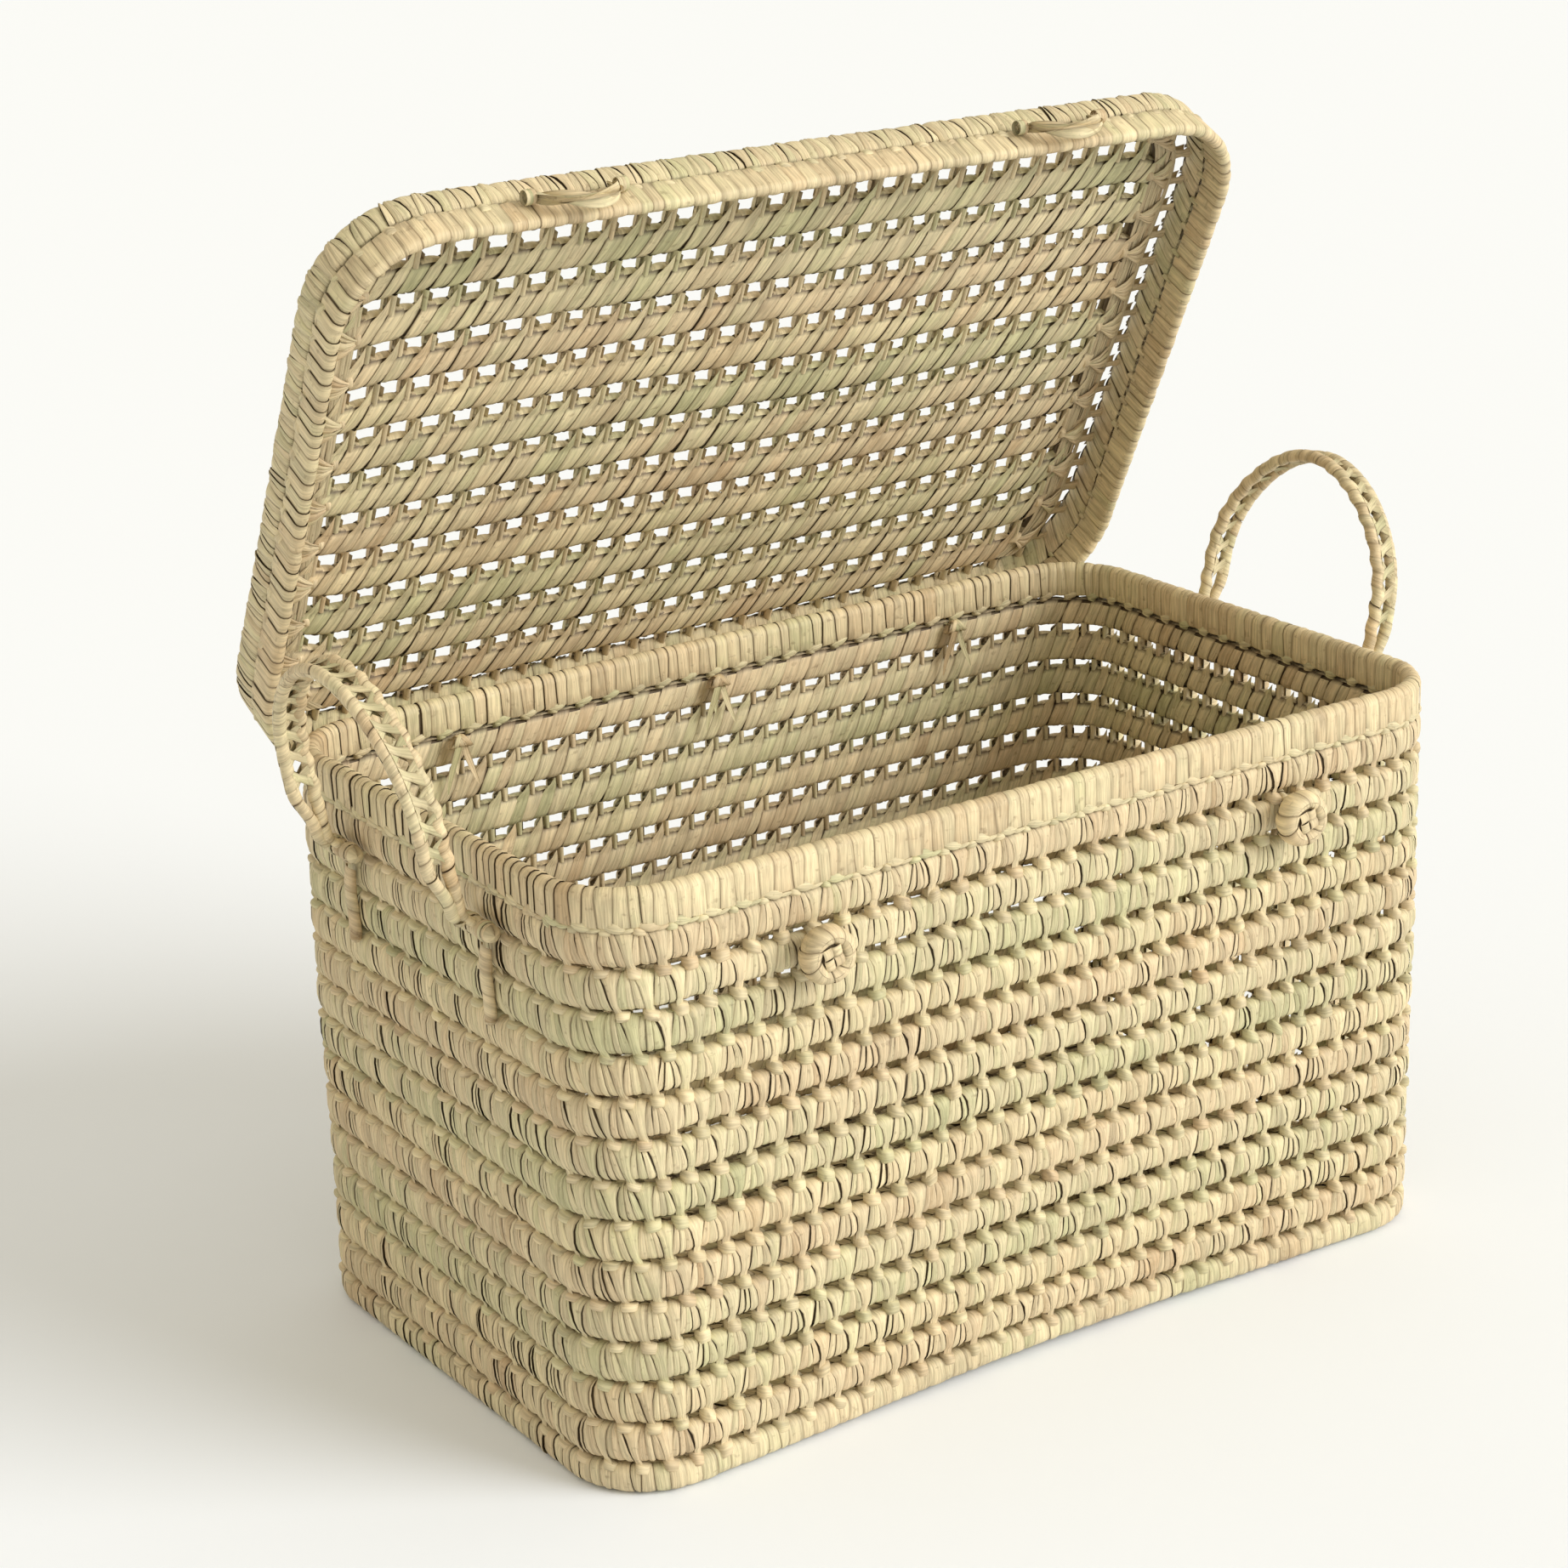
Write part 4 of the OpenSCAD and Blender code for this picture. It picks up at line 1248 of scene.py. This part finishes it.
def leaf_material(name, shift, tint):
    """Dried palm leaf: each strip has its own tone, fibres, folds and stains, painted shade along its edges,
    and painted shade mixed in where the shade attribute asks.
    """
    material = bpy.data.materials.new(name)
    n = Nodes(material)
    ident, along, across = n.attribute("strip")[:3]
    tone, shade, light = n.attribute("tone")[:3]
    far = n.times(ident, 90.0)
    fine = n.noise(n.vector(n.times(across, 7.0), n.times(along, 0.06), far), 1.5, 2.0)
    fold = n.noise(n.vector(n.times(across, 2.4), n.times(along, 0.05), far), 1.3, 2.0)
    blotch = n.noise(n.vector(n.times(across, 0.8), n.times(along, 0.16), far), 1.0, 2.0)

    ramp = n.new("ShaderNodeValToRGB")
    elements = ramp.color_ramp.elements
    elements[0].position, elements[0].color = PALETTE[0][0], linear(PALETTE[0][1])
    elements[1].position, elements[1].color = PALETTE[-1][0], linear(PALETTE[-1][1])
    for position, colour in PALETTE[1:-1]:
        element = elements.new(position)
        element.color = linear(colour)
    drift = n.remap(blotch, 0.3, 0.7, shift - 0.08, shift + 0.08)
    n.link(n.math("ADD", tone, drift), ramp.inputs["Fac"])
    colour = n.mix(1.0, ramp.outputs["Color"], tint, "MULTIPLY")

    level = n.times(n.remap(fine, 0.3, 0.7, 0.88, 1.09), n.remap(fold, 0.32, 0.62, 0.76, 1.07))
    level = n.math("ADD", level, n.times(light, 0.05))
    colour = n.mix(1.0, colour, n.vector(level, level, level), "MULTIPLY")
    stain = n.remap(n.noise(n.vector(across, n.times(along, 0.3), far), 0.9, 3.0), 0.62, 0.78, 0.0, 0.45)
    colour = n.mix(stain, colour, linear(STAIN_AND_EDGE_SHADE_COLOUR))
    # Painted shade: a dark line along each strip's edges, where strips meet
    uneven = n.remap(n.math("FRACT", n.times(ident, 7.3)), 0.0, 1.0, 0.25, 0.95)
    rim_line = n.remap(n.math("POWER", n.math("ABSOLUTE", across), 7.0), 0.0, 1.0, 0.0, 1.0)
    colour = n.mix(n.times(rim_line, uneven), colour, linear(STAIN_AND_EDGE_SHADE_COLOUR))
    # Painted shade from the shade attribute: gaps, cracks, recesses and coil cores
    colour = n.mix(shade, colour, linear(PAINTED_SHADE_COLOUR))

    shader = n.new("ShaderNodeBsdfPrincipled")
    n.link(colour, shader.inputs["Base Color"])
    n.link(n.remap(fine, 0.3, 0.7, 0.48, 0.66), shader.inputs["Roughness"])
    shader.inputs["Specular IOR Level"].default_value = 0.35
    bump = n.new("ShaderNodeBump")
    bump.inputs["Strength"].default_value = 0.5
    bump.inputs["Distance"].default_value = 0.0005
    n.link(n.math("ADD", fine, n.times(fold, 1.5)), bump.inputs["Height"])
    n.link(bump.outputs["Normal"], shader.inputs["Normal"])
    output = n.new("ShaderNodeOutputMaterial")
    n.link(shader.outputs["BSDF"], output.inputs["Surface"])
    return material


MATERIALS = {
    "straw": leaf_material("leaf_straw", 0.0, [1.0, 1.0, 1.0, 1.0]),
    "cream": leaf_material("leaf_cream", 0.08, [1.03, 1.02, 1.0, 1.0]),
    "reed": leaf_material("leaf_reed", -0.10, [0.97, 0.98, 0.97, 1.0]),
    "blush": leaf_material("leaf_blush", 0.14, [1.0, 0.98, 0.98, 1.0]),
}


# ---- Studio ----

def studio():
    floor = bpy.data.meshes.new("floor")
    r = 16.0
    floor.from_pydata([(-r, -r, 0), (r, -r, 0), (r, r, 0), (-r, r, 0)], [], [(0, 1, 2, 3)])
    stage = bpy.data.objects.new("floor", floor)
    stage.location.z = CAD_LO.z - 0.0005
    bpy.context.scene.collection.objects.link(stage)
    paper = bpy.data.materials.new("paper")
    paper.use_nodes = True
    shader = paper.node_tree.nodes["Principled BSDF"]
    shader.inputs["Base Color"].default_value = (0.885, 0.93, 1.0, 1)
    shader.inputs["Roughness"].default_value = 0.9
    shader.inputs["Specular IOR Level"].default_value = 0.1
    floor.materials.append(paper)

    world = bpy.data.worlds.new("studio")
    world.use_nodes = True
    back = world.node_tree.nodes["Background"]
    back.inputs["Color"].default_value = (1.0, 0.925, 0.77, 1)
    back.inputs["Strength"].default_value = 0.74
    bpy.context.scene.world = world

    key = bpy.data.lights.new("key", "SUN")
    key.energy = 2.7
    key.angle = math.radians(38)
    key.color = (1.0, 0.995, 0.99)
    lamp = bpy.data.objects.new("key", key)
    bpy.context.scene.collection.objects.link(lamp)
    lamp.rotation_euler = aim(azimuth=38, elevation=25)
    bpy.context.scene.view_settings.view_transform = "Standard"


def direction(azimuth, elevation):
    """Unit vector to an azimuth from the front, turning to the right, and an elevation, in radians."""
    flat = math.cos(elevation)
    return Vector((math.sin(azimuth) * flat, -math.cos(azimuth) * flat, math.sin(elevation)))


def aim(azimuth, elevation):
    """Rotation of a lamp that stands in a direction, given in degrees, and shines at the middle."""
    return direction(math.radians(azimuth), math.radians(elevation)).to_track_quat("Z", "Y").to_euler()


def camera():
    azimuth, elevation, roll = math.radians(-33.966), math.radians(19.261), math.radians(-1.707)
    distance = 2120.0 * MM
    target = Vector((-63.4, 0.0, 322.2)) * MM
    back = direction(azimuth, elevation)
    right = Vector((math.cos(azimuth), math.sin(azimuth), 0.0))
    up = back.cross(right)
    side = right * math.cos(roll) + up * math.sin(roll)
    top = up * math.cos(roll) - right * math.sin(roll)
    turn = Matrix((side, top, back)).transposed()
    data = bpy.data.cameras.new("camera")
    data.sensor_width = 36.0
    data.lens = 81.71
    view = bpy.data.objects.new("camera", data)
    view.matrix_world = Matrix.Translation(target + back * distance) @ turn.to_4x4()
    bpy.context.scene.collection.objects.link(view)
    bpy.context.scene.camera = view


camera()
studio()
base()
foot_edge()
wall()
rim()
rim_stitching()
lid_panel()
lid_bindings()
lid_side()
lid_rim()
for index, (tie, tie_x) in enumerate((("left", -TIE_X), ("middle", 0.0), ("right", TIE_X))):
    hinge_tie(tie_x, f"hinge_tie_{tie}", 380 + index)
handle(-1, "left", math.radians(10))
handle(1, "right", math.radians(12))
button(-BUTTON_X, "left")
button(BUTTON_X, "right")
closing_loop(-BUTTON_X)
closing_loop(BUTTON_X)
